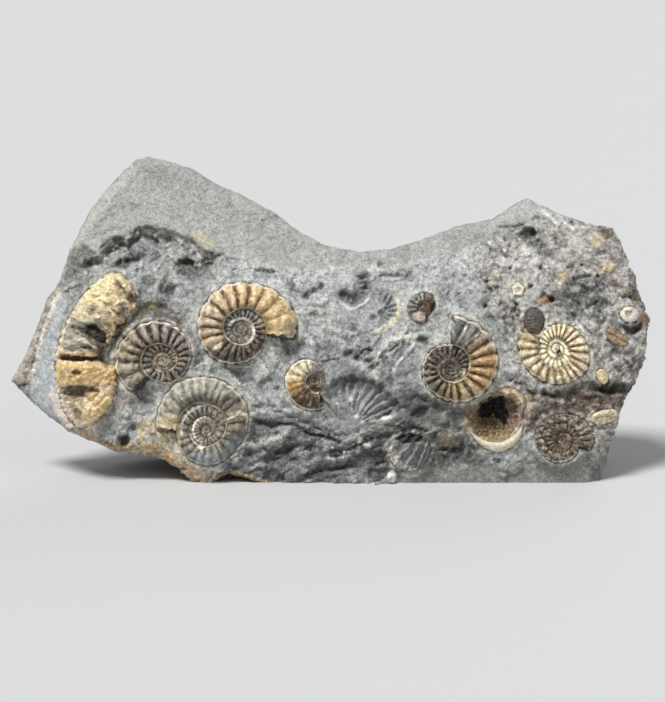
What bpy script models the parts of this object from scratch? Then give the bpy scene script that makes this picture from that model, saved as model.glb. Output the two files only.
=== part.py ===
"""Fossil ammonite cluster: a limestone block with small ribbed ammonites standing out of its leaning front face."""

import math

import bmesh
import bpy
from mathutils import Vector, geometry, noise

# Driving dimensions, in metres and radians. The block stands on a flat cut and its front leans back.
BLOCK_WIDTH = 0.1917
LEAN = math.radians(10.0)
BASE_THICKNESS = 0.046
TOP_THICKNESS = 0.031
TIP_THICKNESS = 0.020
GAP = 0.0003
POCKET_HEIGHT = 0.020
SEAT_DEPTH = 0.0024

# The face is laid out on the photograph: x right and y down in its pixels, and w out of the face in metres.
WIDTH_IN_PIXELS = 639.0
PIXEL = BLOCK_WIDTH / WIDTH_IN_PIXELS
MIDDLE_X = 330.5
GROUND_Y = 485.0
DEPTH_MIDDLE = 0.0237
FACE_CENTRE = (340.0, 350.0)

# Outline of the block, from the left tip up to the peak, along the saddle, and down the right side.
LEFT_SIDE = [(11, 381), (23, 360), (36, 330), (46, 302), (60, 281), (70, 250), (80, 230), (92, 207), (115, 180),
             (135, 160), (147, 157)]
TOP_SIDE = [(147, 157), (168, 161), (192, 169), (216, 184), (240, 194), (276, 214), (300, 232), (324, 245),
            (360, 252), (396, 248), (432, 236), (456, 226), (492, 219), (516, 203), (528, 198), (540, 205),
            (564, 216), (588, 224), (612, 228)]
RIGHT_SIDE = [(600, 502), (600, 478), (608, 455), (613, 437), (622, 405), (637, 380), (645, 358), (649, 318),
              (641, 298), (632, 270), (620, 240), (612, 228)]
LOWER_SIDE = [(11, 381), (42, 411), (70, 432), (91, 440), (117, 452), (140, 453), (166, 460), (182, 474),
              (206, 488), (222, 502), (400, 502), (600, 502)]

GRID_ACROSS = 112
GRID_UP = 48
SIDE_RINGS = 3
MATRIX_KEEP = 0.075


def world(x, y, w):
    """Place of a point of the face: x and y in photo pixels, w in metres out of the face."""
    u = (x - MIDDLE_X) * PIXEL
    v = (GROUND_Y - y) * PIXEL
    return Vector((u, v * math.sin(LEAN) - w * math.cos(LEAN) - DEPTH_MIDDLE, v * math.cos(LEAN) + w * math.sin(LEAN)))


def mm(value):
    return value * 0.001


def smooth(low, high, value):
    """0 below low, 1 above high and an S-curve between; low may be the larger."""
    t = min(max((value - low) / (high - low), 0.0), 1.0)
    return t * t * (3.0 - 2.0 * t)


def bump(x, y, centre, radii, turn=0.0):
    """A round hill of height 1 over an ellipse of the face."""
    c, s = math.cos(math.radians(turn)), math.sin(math.radians(turn))
    dx, dy = x - centre[0], y - centre[1]
    along, over = (dx * c - dy * s) / radii[0], (dx * s + dy * c) / radii[1]
    return math.exp(-(along * along + over * over))


def along_line(points, share):
    """The point at a share, 0 to 1, of a polyline's length."""
    lengths = [math.dist(a, b) for a, b in zip(points, points[1:])]
    left = share * sum(lengths)
    for (a, b), length in zip(zip(points, points[1:]), lengths):
        if left <= length:
            t = left / length
            return (a[0] + (b[0] - a[0]) * t, a[1] + (b[1] - a[1]) * t)
        left -= length
    return points[-1]


def distance_to_line(x, y, points):
    """Distance in pixels from a point to a polyline, and the y of the nearest place on it."""
    best = (1e9, 0.0)
    for a, b in zip(points, points[1:]):
        near, share = geometry.intersect_point_line(Vector((x, y, 0)), Vector((*a, 0)), Vector((*b, 0)))
        if share < 0.0 or share > 1.0:
            near = Vector((*(a if share < 0.0 else b), 0))
        best = min(best, (math.hypot(x - near.x, y - near.y), near.y))
    return best


def face_outwards(bm):
    """Turns every face of a closed shape outwards."""
    bmesh.ops.recalc_face_normals(bm, faces=bm.faces)
    if bm.calc_volume(signed=True) < 0.0:
        bmesh.ops.reverse_faces(bm, faces=bm.faces)


# Coiled shells

RADII_STEP = math.radians(30.0)
OVERLAP = 0.97
SEAM_HEIGHT = 0.13
FLANK_HEIGHT = 0.40
RIB_HEIGHT = 0.075
RIB_AT_VENTER = 0.5
ROWS = [0.0, 0.22, 0.55, 0.86, 1.0]
TURNS = 1.6
POCKET_SIDES = 24
POCKET_GROWTH = 1.010


class Coil:
    """A ribbed ammonite lying flat in the face. Angles are seen from the front, anticlockwise from the right.

    The way is 1 where it grows anticlockwise and -1 where it grows clockwise. The radii are those of its venter in
    photo pixels, each one step farther back from the mouth.
    """

    def __init__(self, name, colour, centre, mouth, way, ribs, lift, radii, tilt=(0.0, 0.0)):
        self.name = name
        self.colour = colour
        self.centre = centre
        self.mouth = math.radians(mouth)
        self.way = way
        self.ribs = ribs
        self.lift = lift
        self.radii = [radius * PIXEL for radius in radii]
        self.tilt = tilt

    def outer(self, back):
        """Radius of the venter at an angle back from the mouth."""
        place = min(-back / RADII_STEP, len(self.radii) - 1.001)
        index = int(place)
        return self.radii[index] + (self.radii[index + 1] - self.radii[index]) * (place - index)

    def seam(self, back):
        """Radius of the line where a whorl meets the one inside it."""
        return OVERLAP * self.outer(back - math.tau)

    def on_last_turn(self, back):
        return back > -math.tau + 1e-4

    def edge(self, back):
        """Radius where the visible part of a whorl ends: the next whorl's seam, or the venter on the last turn."""
        return self.outer(back) if self.on_last_turn(back) else self.seam(back + math.tau)

    def height(self, back, share):
        """Height of the flank above the shell's middle plane, from the seam at share 0 to the edge at share 1."""
        inner = self.seam(back)
        width = self.edge(back) - inner
        low, high = SEAM_HEIGHT * inner, 0.0
        ribbed = smooth(0.0, 0.3, share)
        if self.on_last_turn(back):
            ribbed *= 1.0 - (1.0 - RIB_AT_VENTER) * smooth(0.6, 1.0, share)
        else:
            high = SEAM_HEIGHT * self.seam(back + math.tau)
            ribbed *= smooth(1.0, 0.7, share)
        flank = low + (high - low) * share + FLANK_HEIGHT * width * 2.0 * math.sqrt(share * (1.0 - share))
        return flank + RIB_HEIGHT * width * math.cos(self.ribs * back) * ribbed

    def place(self, back, radius, height):
        """World place of a point of the shell from its angle, radius and height."""
        angle = self.mouth + self.way * back
        dx, dy = radius * math.cos(angle), radius * math.sin(angle)
        w = base_form(*self.centre) + self.lift + height + self.tilt[0] * dx + self.tilt[1] * dy
        return world(self.centre[0] + dx / PIXEL, self.centre[1] - dy / PIXEL, w)

    def level(self, x, y):
        """Height of the shell's middle plane under a place of the face, and how far out the place lies in outlines."""
        dx, dy = (x - self.centre[0]) * PIXEL, (self.centre[1] - y) * PIXEL
        back = -((self.way * (self.mouth - math.atan2(dy, dx))) % math.tau)
        share = math.hypot(dx, dy) / self.outer(back)
        return base_form(*self.centre) + self.lift + self.tilt[0] * dx + self.tilt[1] * dy, share

    def build(self):
        """A spiral strip, welded whorl to whorl, closed by a skirt down into the rock and a flat back."""
        steps = 2 * self.ribs
        columns = int(round(TURNS * steps))
        bm = bmesh.new()
        bmesh.ops.create_grid(bm, x_segments=columns, y_segments=len(ROWS) - 1, size=1.0)
        for vert in bm.verts:
            column = round((vert.co.x + 1.0) / 2.0 * columns)
            share = ROWS[round((vert.co.y + 1.0) / 2.0 * (len(ROWS) - 1))]
            back = (column - columns) * math.tau / steps
            inner, outer = self.seam(back), self.edge(back)
            vert.co = self.place(back, inner + (outer - inner) * share, self.height(back, share))
        bmesh.ops.remove_doubles(bm, verts=bm.verts, dist=1e-5)
        centre = self.place(0.0, 0.0, 0.0)
        rim = [edge for edge in bm.edges if edge.is_boundary]
        reach = self.eye_reach(-columns * math.tau / steps, math.tau / steps)
        inside = [edge for edge in rim if all((vert.co - centre).length < reach for vert in edge.verts)]
        eye = bmesh.ops.holes_fill(bm, edges=inside, sides=0)["faces"]
        bmesh.ops.poke(bm, faces=eye)
        rim = [edge for edge in bm.edges if edge.is_boundary]
        skirt = bmesh.ops.extrude_edge_only(bm, edges=rim)["geom"]
        loop = [item for item in skirt if isinstance(item, bmesh.types.BMVert)]
        for vert in loop:
            x, y = face_place(vert.co)
            level, _ = self.level(x, y)
            vert.co = world(x, y, level - SEAT_DEPTH)
        back_rim = [item for item in skirt if isinstance(item, bmesh.types.BMEdge) and item.is_boundary]
        bmesh.ops.holes_fill(bm, edges=back_rim, sides=0)
        face_outwards(bm)
        return bm

    def eye_reach(self, first, step):
        """Farthest that the rim of the open eye in the middle of the strip lies from the shell's centre."""
        rim = [self.seam(first + step * index) for index in range(int(round(math.tau / step)) + 1)]
        outermost = max(max(rim), self.edge(first))
        return 1.03 * math.hypot(outermost, SEAM_HEIGHT * outermost + FLANK_HEIGHT * outermost)

    def pocket(self):
        """The space that the shell takes in the rock: its outline widened by the gap."""
        bm = bmesh.new()
        ring = bmesh.ops.create_circle(bm, segments=POCKET_SIDES, radius=1.0, cap_ends=True)["verts"]
        for index, vert in enumerate(ring):
            back = -math.tau * (POCKET_SIDES - 1 - index) / POCKET_SIDES
            radius = self.outer(back) * POCKET_GROWTH + 1.2 * GAP
            x, y = face_place(self.place(back, radius, 0.0))
            level, _ = self.level(x, y)
            vert.co = world(x, y, level - SEAT_DEPTH - GAP)
        lift_cap(bm)
        return bm


def face_place(place):
    """Photo x and y of a world place."""
    y = place.y + DEPTH_MIDDLE
    v = y * math.sin(LEAN) + place.z * math.cos(LEAN)
    return place.x / PIXEL + MIDDLE_X, GROUND_Y - v / PIXEL


def lift_cap(bm):
    """Turns a flat outline into a prism that runs out of the face."""
    out = bmesh.ops.extrude_face_region(bm, geom=list(bm.faces))["geom"]
    rise = world(0, 0, POCKET_HEIGHT) - world(0, 0, 0)
    bmesh.ops.translate(bm, verts=[item for item in out if isinstance(item, bmesh.types.BMVert)], vec=rise)
    face_outwards(bm)


COILS = [
    Coil("ammonite_left", (0.16, 0.13, 0.12), (163.0, 360.9), -130, 1, 19, mm(1.0),
         (43.0, 47.8, 48.0, 44.0, 41.9, 37.8, 33.9, 29.9, 25.4, 24.0, 23.8, 21.9, 21.3, 22.3, 22.0, 20.8, 18.3,
          15.9, 15.1, 14.8, 13.6, 12.2, 11.3, 10.9, 11.2, 11.3, 11.3, 10.6, 9.9, 9.3, 8.7, 8.1, 7.6)),
    Coil("ammonite_upper", (0.45, 0.33, 0.18), (241.2, 329.8), -12, -1, 20, mm(0.9),
         (55.9, 56.1, 51.6, 47.5, 47.5, 45.2, 44.3, 42.1, 39.7, 34.8, 31.3, 28.1, 26.6, 25.1, 23.4, 22.5, 20.3,
          19.3, 18.4, 16.7, 15.6, 14.9, 14.9, 14.3, 13.4, 12.2, 10.7, 9.9, 9.6, 9.6, 9.4, 9.0, 8.4)),
    Coil("ammonite_lower", (0.28, 0.27, 0.22), (206.5, 430.0), -177, 1, 20, mm(0.2),
         (50.0, 52.5, 55.6, 53.4, 50.3, 47.4, 40.6, 35.6, 34.8, 35.7, 34.4, 32.1, 30.2, 30.3, 29.7, 27.1, 24.4,
          22.8, 19.6, 17.1, 16.0, 16.7, 17.5, 17.6, 17.2, 16.7, 16.0, 15.1, 13.5, 11.2, 9.1, 8.1, 7.7),
         (-0.03, 0.10)),
    Coil("ammonite_centre", (0.36, 0.26, 0.15), (451.1, 368.7), 90, 1, 20, mm(1.2),
         (53.1, 52.1, 50.1, 46.5, 41.6, 36.8, 32.7, 30.2, 30.5, 28.6, 27.7, 26.1, 24.1, 23.5, 21.2, 18.0, 16.0,
          14.7, 13.1, 12.9, 12.9, 13.6, 14.0, 13.2, 11.9, 11.2, 9.7, 9.0, 8.4, 7.8, 7.2, 6.7, 6.2)),
    Coil("ammonite_cream", (0.66, 0.57, 0.40), (556.3, 349.0), 148, -1, 20, mm(0.9),
         (42.0, 37.5, 36.0, 34.5, 35.0, 36.0, 36.7, 32.5, 28.5, 26.8, 25.0, 22.4, 19.0, 17.4, 17.5, 18.5, 20.8,
          19.3, 15.9, 13.1, 11.5, 10.9, 11.3, 10.8, 9.7, 9.0, 9.2, 10.0, 10.0, 9.4, 8.8, 7.8, 6.6)),
    Coil("ammonite_small_gold", (0.36, 0.27, 0.15), (313.7, 380.6), -65, 1, 16, mm(0.2),
         (29.1, 29.8, 30.1, 28.8, 28.8, 26.5, 23.4, 18.8, 13.8, 12.6, 12.8, 13.6, 13.5, 12.9, 11.1, 8.9, 7.7, 7.0,
          6.7, 6.6, 7.0, 7.1, 7.3, 7.2, 6.8, 6.3, 5.8, 5.3, 4.9, 4.5, 4.1, 3.8, 3.5)),
    Coil("ammonite_corner", (0.17, 0.12, 0.10), (562.7, 439.7), -24, -1, 18, mm(0.1),
         (29.0, 32.0, 29.0, 26.5, 25.6, 26.2, 28.0, 27.4, 25.0, 24.0, 22.2, 20.5, 18.1, 16.2, 16.4, 17.0, 17.1,
          17.4, 18.0, 17.8, 16.5, 14.4, 12.8, 11.7, 11.0, 9.9, 9.1, 8.4, 7.8, 7.2, 6.6, 6.1, 5.6)),
    Coil("ammonite_broken", (0.24, 0.18, 0.14), (424.2, 307.3), -77, 1, 13, mm(0.4),
         (14.3, 16.6, 17.1, 16.6, 15.3, 14.3, 14.4, 14.4, 13.2, 10.9, 9.6, 8.8, 8.5, 7.9, 7.1, 6.7, 6.5, 6.6, 6.7,
          6.7, 6.4, 6.0, 5.6, 5.2, 4.8, 4.5, 4.2, 3.9, 3.6, 3.3, 3.1, 2.9, 2.7)),
]


# Rock


def base_form(x, y):
    """Broad shape of the front, in metres: proud in the middle band, falling back to the edges."""
    w = mm(2.2) * math.exp(-((y - 372.0) / 62.0) ** 2)
    w -= mm(6.5) * smooth(300, 175, y)
    w -= mm(3.0) * smooth(425, 490, y)
    w -= mm(11.0) * smooth(92, 14, x) ** 1.4
    w -= mm(6.5) * smooth(575, 652, x)
    return w


UPPER_LEDGE = [(92, 262), (104, 247), (117, 238), (126, 242), (138, 227), (154, 227), (175, 231), (189, 235),
               (201, 247), (219, 257)]


def ledge_step(x, y):
    """The broken layer below the smooth upper left: a step down under its edge, easing out below."""
    reach = smooth(80, 100, x) * smooth(240, 210, x)
    if reach == 0.0:
        return 0.0
    away, edge_y = distance_to_line(x, y, UPPER_LEDGE)
    below = smooth(-1.0, 5.0, y - edge_y) * smooth(46.0, 8.0, away)
    return -mm(2.2) * below * reach


def moulds(x, y):
    """Hollows that lost shells left in the rock."""
    w = -mm(3.8) * bump(x, y, (362, 402), (29, 19), -20)
    w -= mm(1.6) * bump(x, y, (353, 292), (14, 12))
    w -= mm(1.4) * bump(x, y, (386, 312), (14, 17))
    w -= mm(1.6) * bump(x, y, (610, 388), (20, 8))
    w -= mm(1.8) * bump(x, y, (529, 234), (8, 6))
    w -= mm(2.0) * bump(x, y, (118, 333), (7, 16))
    w += mm(1.4) * bump(x, y, (410, 455), (26, 16))
    return w


def roughness(x, y):
    """Broken lumps and facets, stronger away from the smooth upper band."""
    band = smooth(232, 275, y + 0.12 * (300 - x) * (x < 300))
    right = smooth(480, 540, x) * smooth(205, 235, y)
    strength = mm(0.35) + mm(1.5) * max(band, right)
    return strength * noise.fractal(Vector((x / 34.0, y / 24.0, 3.7)), 0.9, 2.1, 4)


def relief(x, y):
    """Height of the rock's front over the face plane."""
    w = base_form(x, y) + ledge_step(x, y) + moulds(x, y) + roughness(x, y)
    for coil in COILS:
        level, share = coil.level(x, y)
        hold = smooth(1.45, 1.02, share)
        w = w + (level + mm(0.2) - w) * hold
    return w


def coons(s, t):
    """Place on the face inside the four sides of the outline, for s across and t up."""
    low, high = along_line(LOWER_SIDE, s), along_line(TOP_SIDE, s)
    left, right = along_line(LEFT_SIDE, t), along_line(RIGHT_SIDE, t)
    corners = [((1 - s) * (1 - t), LOWER_SIDE[0]), (s * (1 - t), LOWER_SIDE[-1]),
               ((1 - s) * t, TOP_SIDE[0]), (s * t, TOP_SIDE[-1])]
    return tuple((1 - t) * low[i] + t * high[i] + (1 - s) * left[i] + s * right[i]
                 - sum(share * corner[i] for share, corner in corners) for i in (0, 1))


def edge_fall(s, t):
    """How far the front rounds back at the outline, in metres."""
    near = min(s * 2.2, (1 - s) * 2.2, t * 0.9, (1 - t) * 0.9)
    return mm(3.0) * (1.0 - math.sqrt(max(0.0, 1.0 - max(0.0, 1.0 - near / 0.05) ** 2)))


def block_place(s, t, depth):
    """World place of a point of the block: depth 0 is the front, 1 the back."""
    x, y = coons(s, t)
    front = relief(x, y) - edge_fall(s, t)
    thick = BASE_THICKNESS + (TOP_THICKNESS - BASE_THICKNESS) * smooth(GROUND_Y, 170, y)
    thick += (TIP_THICKNESS - thick) * smooth(150, 10, x)
    lumps = noise.fractal(Vector((x / 46.0, y / 46.0, 9.0 + 1.4 * depth)), 0.9, 2.1, 4)
    inset = 0.015 * depth + 0.055 * depth ** 4 + 0.012 * lumps * math.sin(math.pi * depth)
    bx, by = x + (FACE_CENTRE[0] - x) * inset, y + (FACE_CENTRE[1] - y) * inset
    near = min(s * 2.2, (1 - s) * 2.2, t, 1 - t) / 0.16
    back = -thick + mm(1.9) * lumps + mm(5.0) * max(0.0, 1.0 - near) ** 2
    return world(bx, by, front + (back - front) * depth)


def build_rock():
    """A grid drawn out into a slab, with rings round its sides, then every point placed by the block's shape."""
    bm = bmesh.new()
    bmesh.ops.create_grid(bm, x_segments=GRID_ACROSS, y_segments=GRID_UP, size=0.5)
    bmesh.ops.translate(bm, verts=bm.verts, vec=(0.5, 0.5, 0.0))
    out = bmesh.ops.extrude_face_region(bm, geom=list(bm.faces))["geom"]
    bmesh.ops.translate(bm, verts=[item for item in out if isinstance(item, bmesh.types.BMVert)], vec=(0, 0, 1))
    walls = [edge for edge in bm.edges if abs(edge.verts[0].co.z - edge.verts[1].co.z) > 0.5]
    bmesh.ops.subdivide_edges(bm, edges=walls, cuts=SIDE_RINGS, use_grid_fill=True)
    for vert in bm.verts:
        vert.co = block_place(*vert.co)
    face_outwards(bm)
    return bm


# Smaller pieces


def outline_plug(outline, level, rise, depth=SEAT_DEPTH, dome=0.55):
    """A low lump from an outline in photo pixels: straight sides in the rock and a crowned top."""
    bm = bmesh.new()
    ring = bmesh.ops.create_circle(bm, segments=len(outline), radius=1.0, cap_ends=True)["verts"]
    for vert, (x, y) in zip(ring, outline):
        vert.co = world(x, y, level - depth)
    side = bmesh.ops.extrude_face_region(bm, geom=list(bm.faces))["geom"]
    top = [item for item in side if isinstance(item, bmesh.types.BMFace)]
    lifted = {vert for face in top for vert in face.verts}
    bmesh.ops.translate(bm, verts=list(lifted), vec=world(0, 0, depth + rise * 0.35) - world(0, 0, 0))
    inner = bmesh.ops.inset_region(bm, faces=top, thickness=dome * rise, depth=0.0)
    top = [face for face in bm.faces if face not in inner["faces"] and face in top]
    lifted = {vert for face in top for vert in face.verts}
    bmesh.ops.translate(bm, verts=list(lifted), vec=world(0, 0, rise * 0.65) - world(0, 0, 0))
    face_outwards(bm)
    return bm


def plug_pocket(outline, level, depth=SEAT_DEPTH):
    """Cutter for a lump: its outline widened by the gap and drawn out of the face."""
    bm = bmesh.new()
    ring = bmesh.ops.create_circle(bm, segments=len(outline), radius=1.0, cap_ends=True)["verts"]
    count = len(outline)
    area = sum(a[0] * b[1] - b[0] * a[1] for a, b in zip(outline, outline[1:] + outline[:1]))
    turn = 1.0 if area > 0 else -1.0
    for index, vert in enumerate(ring):
        before, here, after = outline[index - 1], outline[index], outline[(index + 1) % count]
        along = Vector((after[0] - before[0], after[1] - before[1])).normalized()
        grow = 1.5 * GAP / PIXEL * turn
        vert.co = world(here[0] + along.y * grow, here[1] - along.x * grow, level - depth - GAP)
    lift_cap(bm)
    return bm


def ellipse(centre, radii, count, turn=0.0):
    """Points round an ellipse of the face."""
    c, s = math.cos(math.radians(turn)), math.sin(math.radians(turn))
    points = []
    for index in range(count):
        a = math.tau * index / count
        px, py = radii[0] * math.cos(a), radii[1] * math.sin(a)
        points.append((centre[0] + px * c + py * s, centre[1] - px * s + py * c))
    return points


def crescent(centre, inner, outer, start, end, count):
    """Outline of a crescent of the face: an outer arc and a shallower inner one, from start to end in degrees."""
    points = []
    for index in range(count):
        a = math.radians(start + (end - start) * index / (count - 1))
        points.append((centre[0] + outer * math.cos(a), centre[1] - outer * math.sin(a)))
    for index in range(1, count - 1):
        a = math.radians(end + (start - end) * index / (count - 1))
        points.append((centre[0] + inner * math.cos(a), centre[1] - inner * math.sin(a)))
    return points


HOLLOW_CENTRE = (489, 417)
HOLLOW_RADII = (0.0064, 0.0056, 0.0085)
CRUST_THICKNESS = 0.0012

LUMPS = {
    "shell_lining_lower": ((0.64, 0.60, 0.46), crescent((495, 420), 24.0, 31.5, 205, 335, 9), mm(0.2), mm(1.5)),
    "shell_lining_upper": ((0.64, 0.60, 0.46), crescent((495, 420), 24.5, 31.0, 5, 72, 6), mm(0.2), mm(1.4)),
    "five_sided_ossicle": ((0.60, 0.55, 0.42), ellipse((518, 289.5), (7.2, 7.6), 5, 90), mm(0.2), mm(1.4)),
    "round_ossicle": ((0.68, 0.64, 0.54), ellipse((629.5, 314.5), (9.5, 8.0), 12), mm(0.4), mm(1.8)),
    "tan_shell_scrap": ((0.42, 0.33, 0.20), ellipse((617, 336), (11.0, 10.0), 8, 20), mm(0.3), mm(1.8)),
    "cream_shell_scrap": ((0.62, 0.57, 0.42), ellipse((602.5, 376.5), (5.5, 8.0), 7, 20), mm(0.2), mm(1.2)),
    "cream_shell_block": ((0.62, 0.57, 0.42), ellipse((604, 417), (12.5, 6.5), 8, 12), mm(0.2), mm(1.4)),
    "dark_shell_scrap": ((0.10, 0.09, 0.09), ellipse((534, 320.5), (10.5, 12.5), 12, 10), mm(0.2), mm(2.2)),
    "ribbed_scrap": ((0.33, 0.33, 0.29), ellipse((409, 452), (21.0, 15.0), 14, 25), mm(0.6), mm(2.6)),
}

WHORL_INNER = [(121, 273), (132, 286), (134, 304), (128, 319), (114, 329), (107, 344), (108, 360), (113, 372),
               (112, 400), (97, 422)]
WHORL_OUTER = [(110, 272), (88, 289), (70, 315), (59, 341), (55, 362), (57, 386), (63, 408), (78, 430)]
WHORL_COLOUR = (0.50, 0.42, 0.26)
WHORL_RISE = 0.0056
WHORL_SINK = 0.0012
WHORL_SWELLS = [0.55, 0.95, 1.08, 1.10, 0.92, 1.08, 0.84, 1.08, 0.68, 1.0, 1.04, 0.70, 0.84, 0.88, 0.60]


def whorl_place(s, t):
    """Place on the large broken whorl: s from its top end to its lower end, t from the inner to the outer edge."""
    inner, outer = along_line(WHORL_INNER, s), along_line(WHORL_OUTER, s)
    x, y = inner[0] + (outer[0] - inner[0]) * t, inner[1] + (outer[1] - inner[1]) * t
    swell = math.sqrt(max(0.0, 1.0 - (2.0 * t - 1.0) ** 2))
    ends = smooth(-0.04, 0.2, s) * smooth(1.06, 0.8, s)
    ribbed = WHORL_SWELLS[round(s * (len(WHORL_SWELLS) - 1))]
    return x, y, base_form(x, y) - WHORL_SINK + WHORL_RISE * swell * ends * ribbed


def build_whorl():
    """The large broken whorl: an arched, ribbed strip over a floor that follows the rock's form."""
    bm = whorl_strip()
    top = list(bm.verts)
    floor = bmesh.ops.extrude_face_region(bm, geom=list(bm.faces))["geom"]
    for vert in top:
        vert.co = world(*whorl_place(vert.co.x + 0.5, vert.co.y + 0.5))
    for vert in (item for item in floor if isinstance(item, bmesh.types.BMVert)):
        x, y, _ = whorl_place(vert.co.x + 0.5, vert.co.y + 0.5)
        vert.co = world(x, y, base_form(x, y) - SEAT_DEPTH)
    face_outwards(bm)
    return bm


def whorl_strip():
    """The flat strip of faces that the large broken whorl and its pocket are shaped from."""
    bm = bmesh.new()
    bmesh.ops.create_grid(bm, x_segments=len(WHORL_SWELLS) - 1, y_segments=5, size=0.5)
    return bm


def whorl_pocket():
    """Cutter for the large broken whorl: its own floor, widened and lowered by the gap and drawn out of the face."""
    bm = whorl_strip()
    for vert in bm.verts:
        s, t = vert.co.x + 0.5, vert.co.y + 0.5
        x, y, _ = whorl_place(s, t)
        level = base_form(x, y) - SEAT_DEPTH - GAP
        across = Vector(along_line(WHORL_OUTER, s)) - Vector(along_line(WHORL_INNER, s))
        widen = across.normalized() * (2.0 * t - 1.0)
        x += widen.x * 1.5 * GAP / PIXEL
        y += widen.y * 1.5 * GAP / PIXEL + (2.0 * s - 1.0) * 1.5 * GAP / PIXEL
        vert.co = world(x, y, level)
    lift_cap(bm)
    return bm


def build_crust():
    """Lumpy crystal lining of the hollow: an open bowl with its wall thickened inwards."""
    bm = bmesh.new()
    bmesh.ops.create_icosphere(bm, subdivisions=3, radius=1.0)
    above = [vert for vert in bm.verts if vert.co.z > -0.12]
    bmesh.ops.delete(bm, geom=above, context="VERTS")
    shrink = [radius - GAP for radius in HOLLOW_RADII]
    level = hollow_level()
    lumpy = bmesh.ops.extrude_face_region(bm, geom=list(bm.faces))["geom"]
    inner = {item for item in lumpy if isinstance(item, bmesh.types.BMVert)}
    for vert in bm.verts:
        direction = vert.co.normalized()
        wall = 0.0
        if vert in inner:
            wall = CRUST_THICKNESS * (1.0 + 0.6 * noise.noise(direction * 4.5))
        dx, dy, dw = (direction[i] * (shrink[i] - wall) for i in range(3))
        vert.co = world(HOLLOW_CENTRE[0] + dx / PIXEL, HOLLOW_CENTRE[1] - dy / PIXEL, level + dw)
    face_outwards(bm)
    return bm


def hollow_level():
    return base_form(*HOLLOW_CENTRE) + mm(0.4)


def hollow_cutter():
    """The egg-shaped hollow in the rock."""
    bm = bmesh.new()
    bmesh.ops.create_icosphere(bm, subdivisions=2, radius=1.04)
    level = hollow_level()
    for vert in bm.verts:
        dx, dy, dw = (vert.co[i] * HOLLOW_RADII[i] for i in range(3))
        vert.co = world(HOLLOW_CENTRE[0] + dx / PIXEL, HOLLOW_CENTRE[1] - dy / PIXEL, level + dw)
    face_outwards(bm)
    return bm


# Objects and materials


def finish(name, colour, roughness):
    """A plain material of one colour."""
    material = bpy.data.materials.new(name)
    material.use_nodes = True
    shader = material.node_tree.nodes["Principled BSDF"]
    shader.inputs["Base Color"].default_value = (*colour, 1.0)
    shader.inputs["Roughness"].default_value = roughness
    shader.inputs["Metallic"].default_value = 0.0
    return material


def as_object(bm, name, collection, material=None):
    """Puts a finished bmesh into the scene."""
    mesh = bpy.data.meshes.new(name)
    bm.to_mesh(mesh)
    bm.free()
    item = bpy.data.objects.new(name, mesh)
    collection.objects.link(item)
    if material:
        mesh.materials.append(material)
    return item


def as_cutter(bm, name, collection):
    """Puts a cutter into the scene as a guide that does not render."""
    item = as_object(bm, name, collection)
    item.hide_render = True
    item.display_type = "WIRE"
    return item


def ground_cutter(collection):
    """The saw cut under the block."""
    bm = bmesh.new()
    bmesh.ops.create_cube(bm, size=1.0)
    bmesh.ops.scale(bm, verts=bm.verts, vec=(0.4, 0.2, 0.04))
    bmesh.ops.translate(bm, verts=bm.verts, vec=(0.0, 0.0, -0.02))
    return as_cutter(bm, "ground_cut", collection)


def main():
    for item in list(bpy.data.objects):
        bpy.data.objects.remove(item, do_unlink=True)
    parts = bpy.data.collections.new("ammonite_cluster")
    cutters = bpy.data.collections.new("cutters")
    bpy.context.scene.collection.children.link(parts)
    bpy.context.scene.collection.children.link(cutters)

    rock = as_object(build_rock(), "limestone_block", parts, finish("limestone", (0.30, 0.30, 0.30), 0.85))
    thin = rock.modifiers.new("thin_out", "DECIMATE")
    thin.ratio = MATRIX_KEEP
    cuts = [ground_cutter(cutters), as_cutter(hollow_cutter(), "hollow_cut", cutters)]

    for coil in COILS:
        as_object(coil.build(), coil.name, parts, finish(coil.name + "_shell", coil.colour, 0.5))
        cuts.append(as_cutter(coil.pocket(), coil.name + "_pocket", cutters))
    for name, (colour, outline, lift, rise) in LUMPS.items():
        middle = [sum(point[i] for point in outline) / len(outline) for i in (0, 1)]
        level = base_form(*middle) + lift
        as_object(outline_plug(outline, level, rise), name, parts, finish(name + "_shell", colour, 0.55))
        cuts.append(as_cutter(plug_pocket(outline, level), name + "_pocket", cutters))
    as_object(build_whorl(), "large_broken_whorl", parts, finish("large_whorl_shell", WHORL_COLOUR, 0.5))
    cuts.append(as_cutter(whorl_pocket(), "large_whorl_pocket", cutters))
    as_object(build_crust(), "crystal_crust", parts, finish("calcite_crust", (0.30, 0.23, 0.15), 0.4))

    for cutter in cuts:
        cut = rock.modifiers.new(cutter.name, "BOOLEAN")
        cut.operation = "DIFFERENCE"
        cut.solver = "EXACT"
        cut.object = cutter


main()
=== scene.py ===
"""Fossil ammonite cluster: the fine surface and finish of the limestone block and of every shell in it."""

import logging
import math
from dataclasses import dataclass
from enum import Enum
from typing import Iterable, Optional, Sequence

import bmesh
import bpy
import numpy as np
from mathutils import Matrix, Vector, noise


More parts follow.
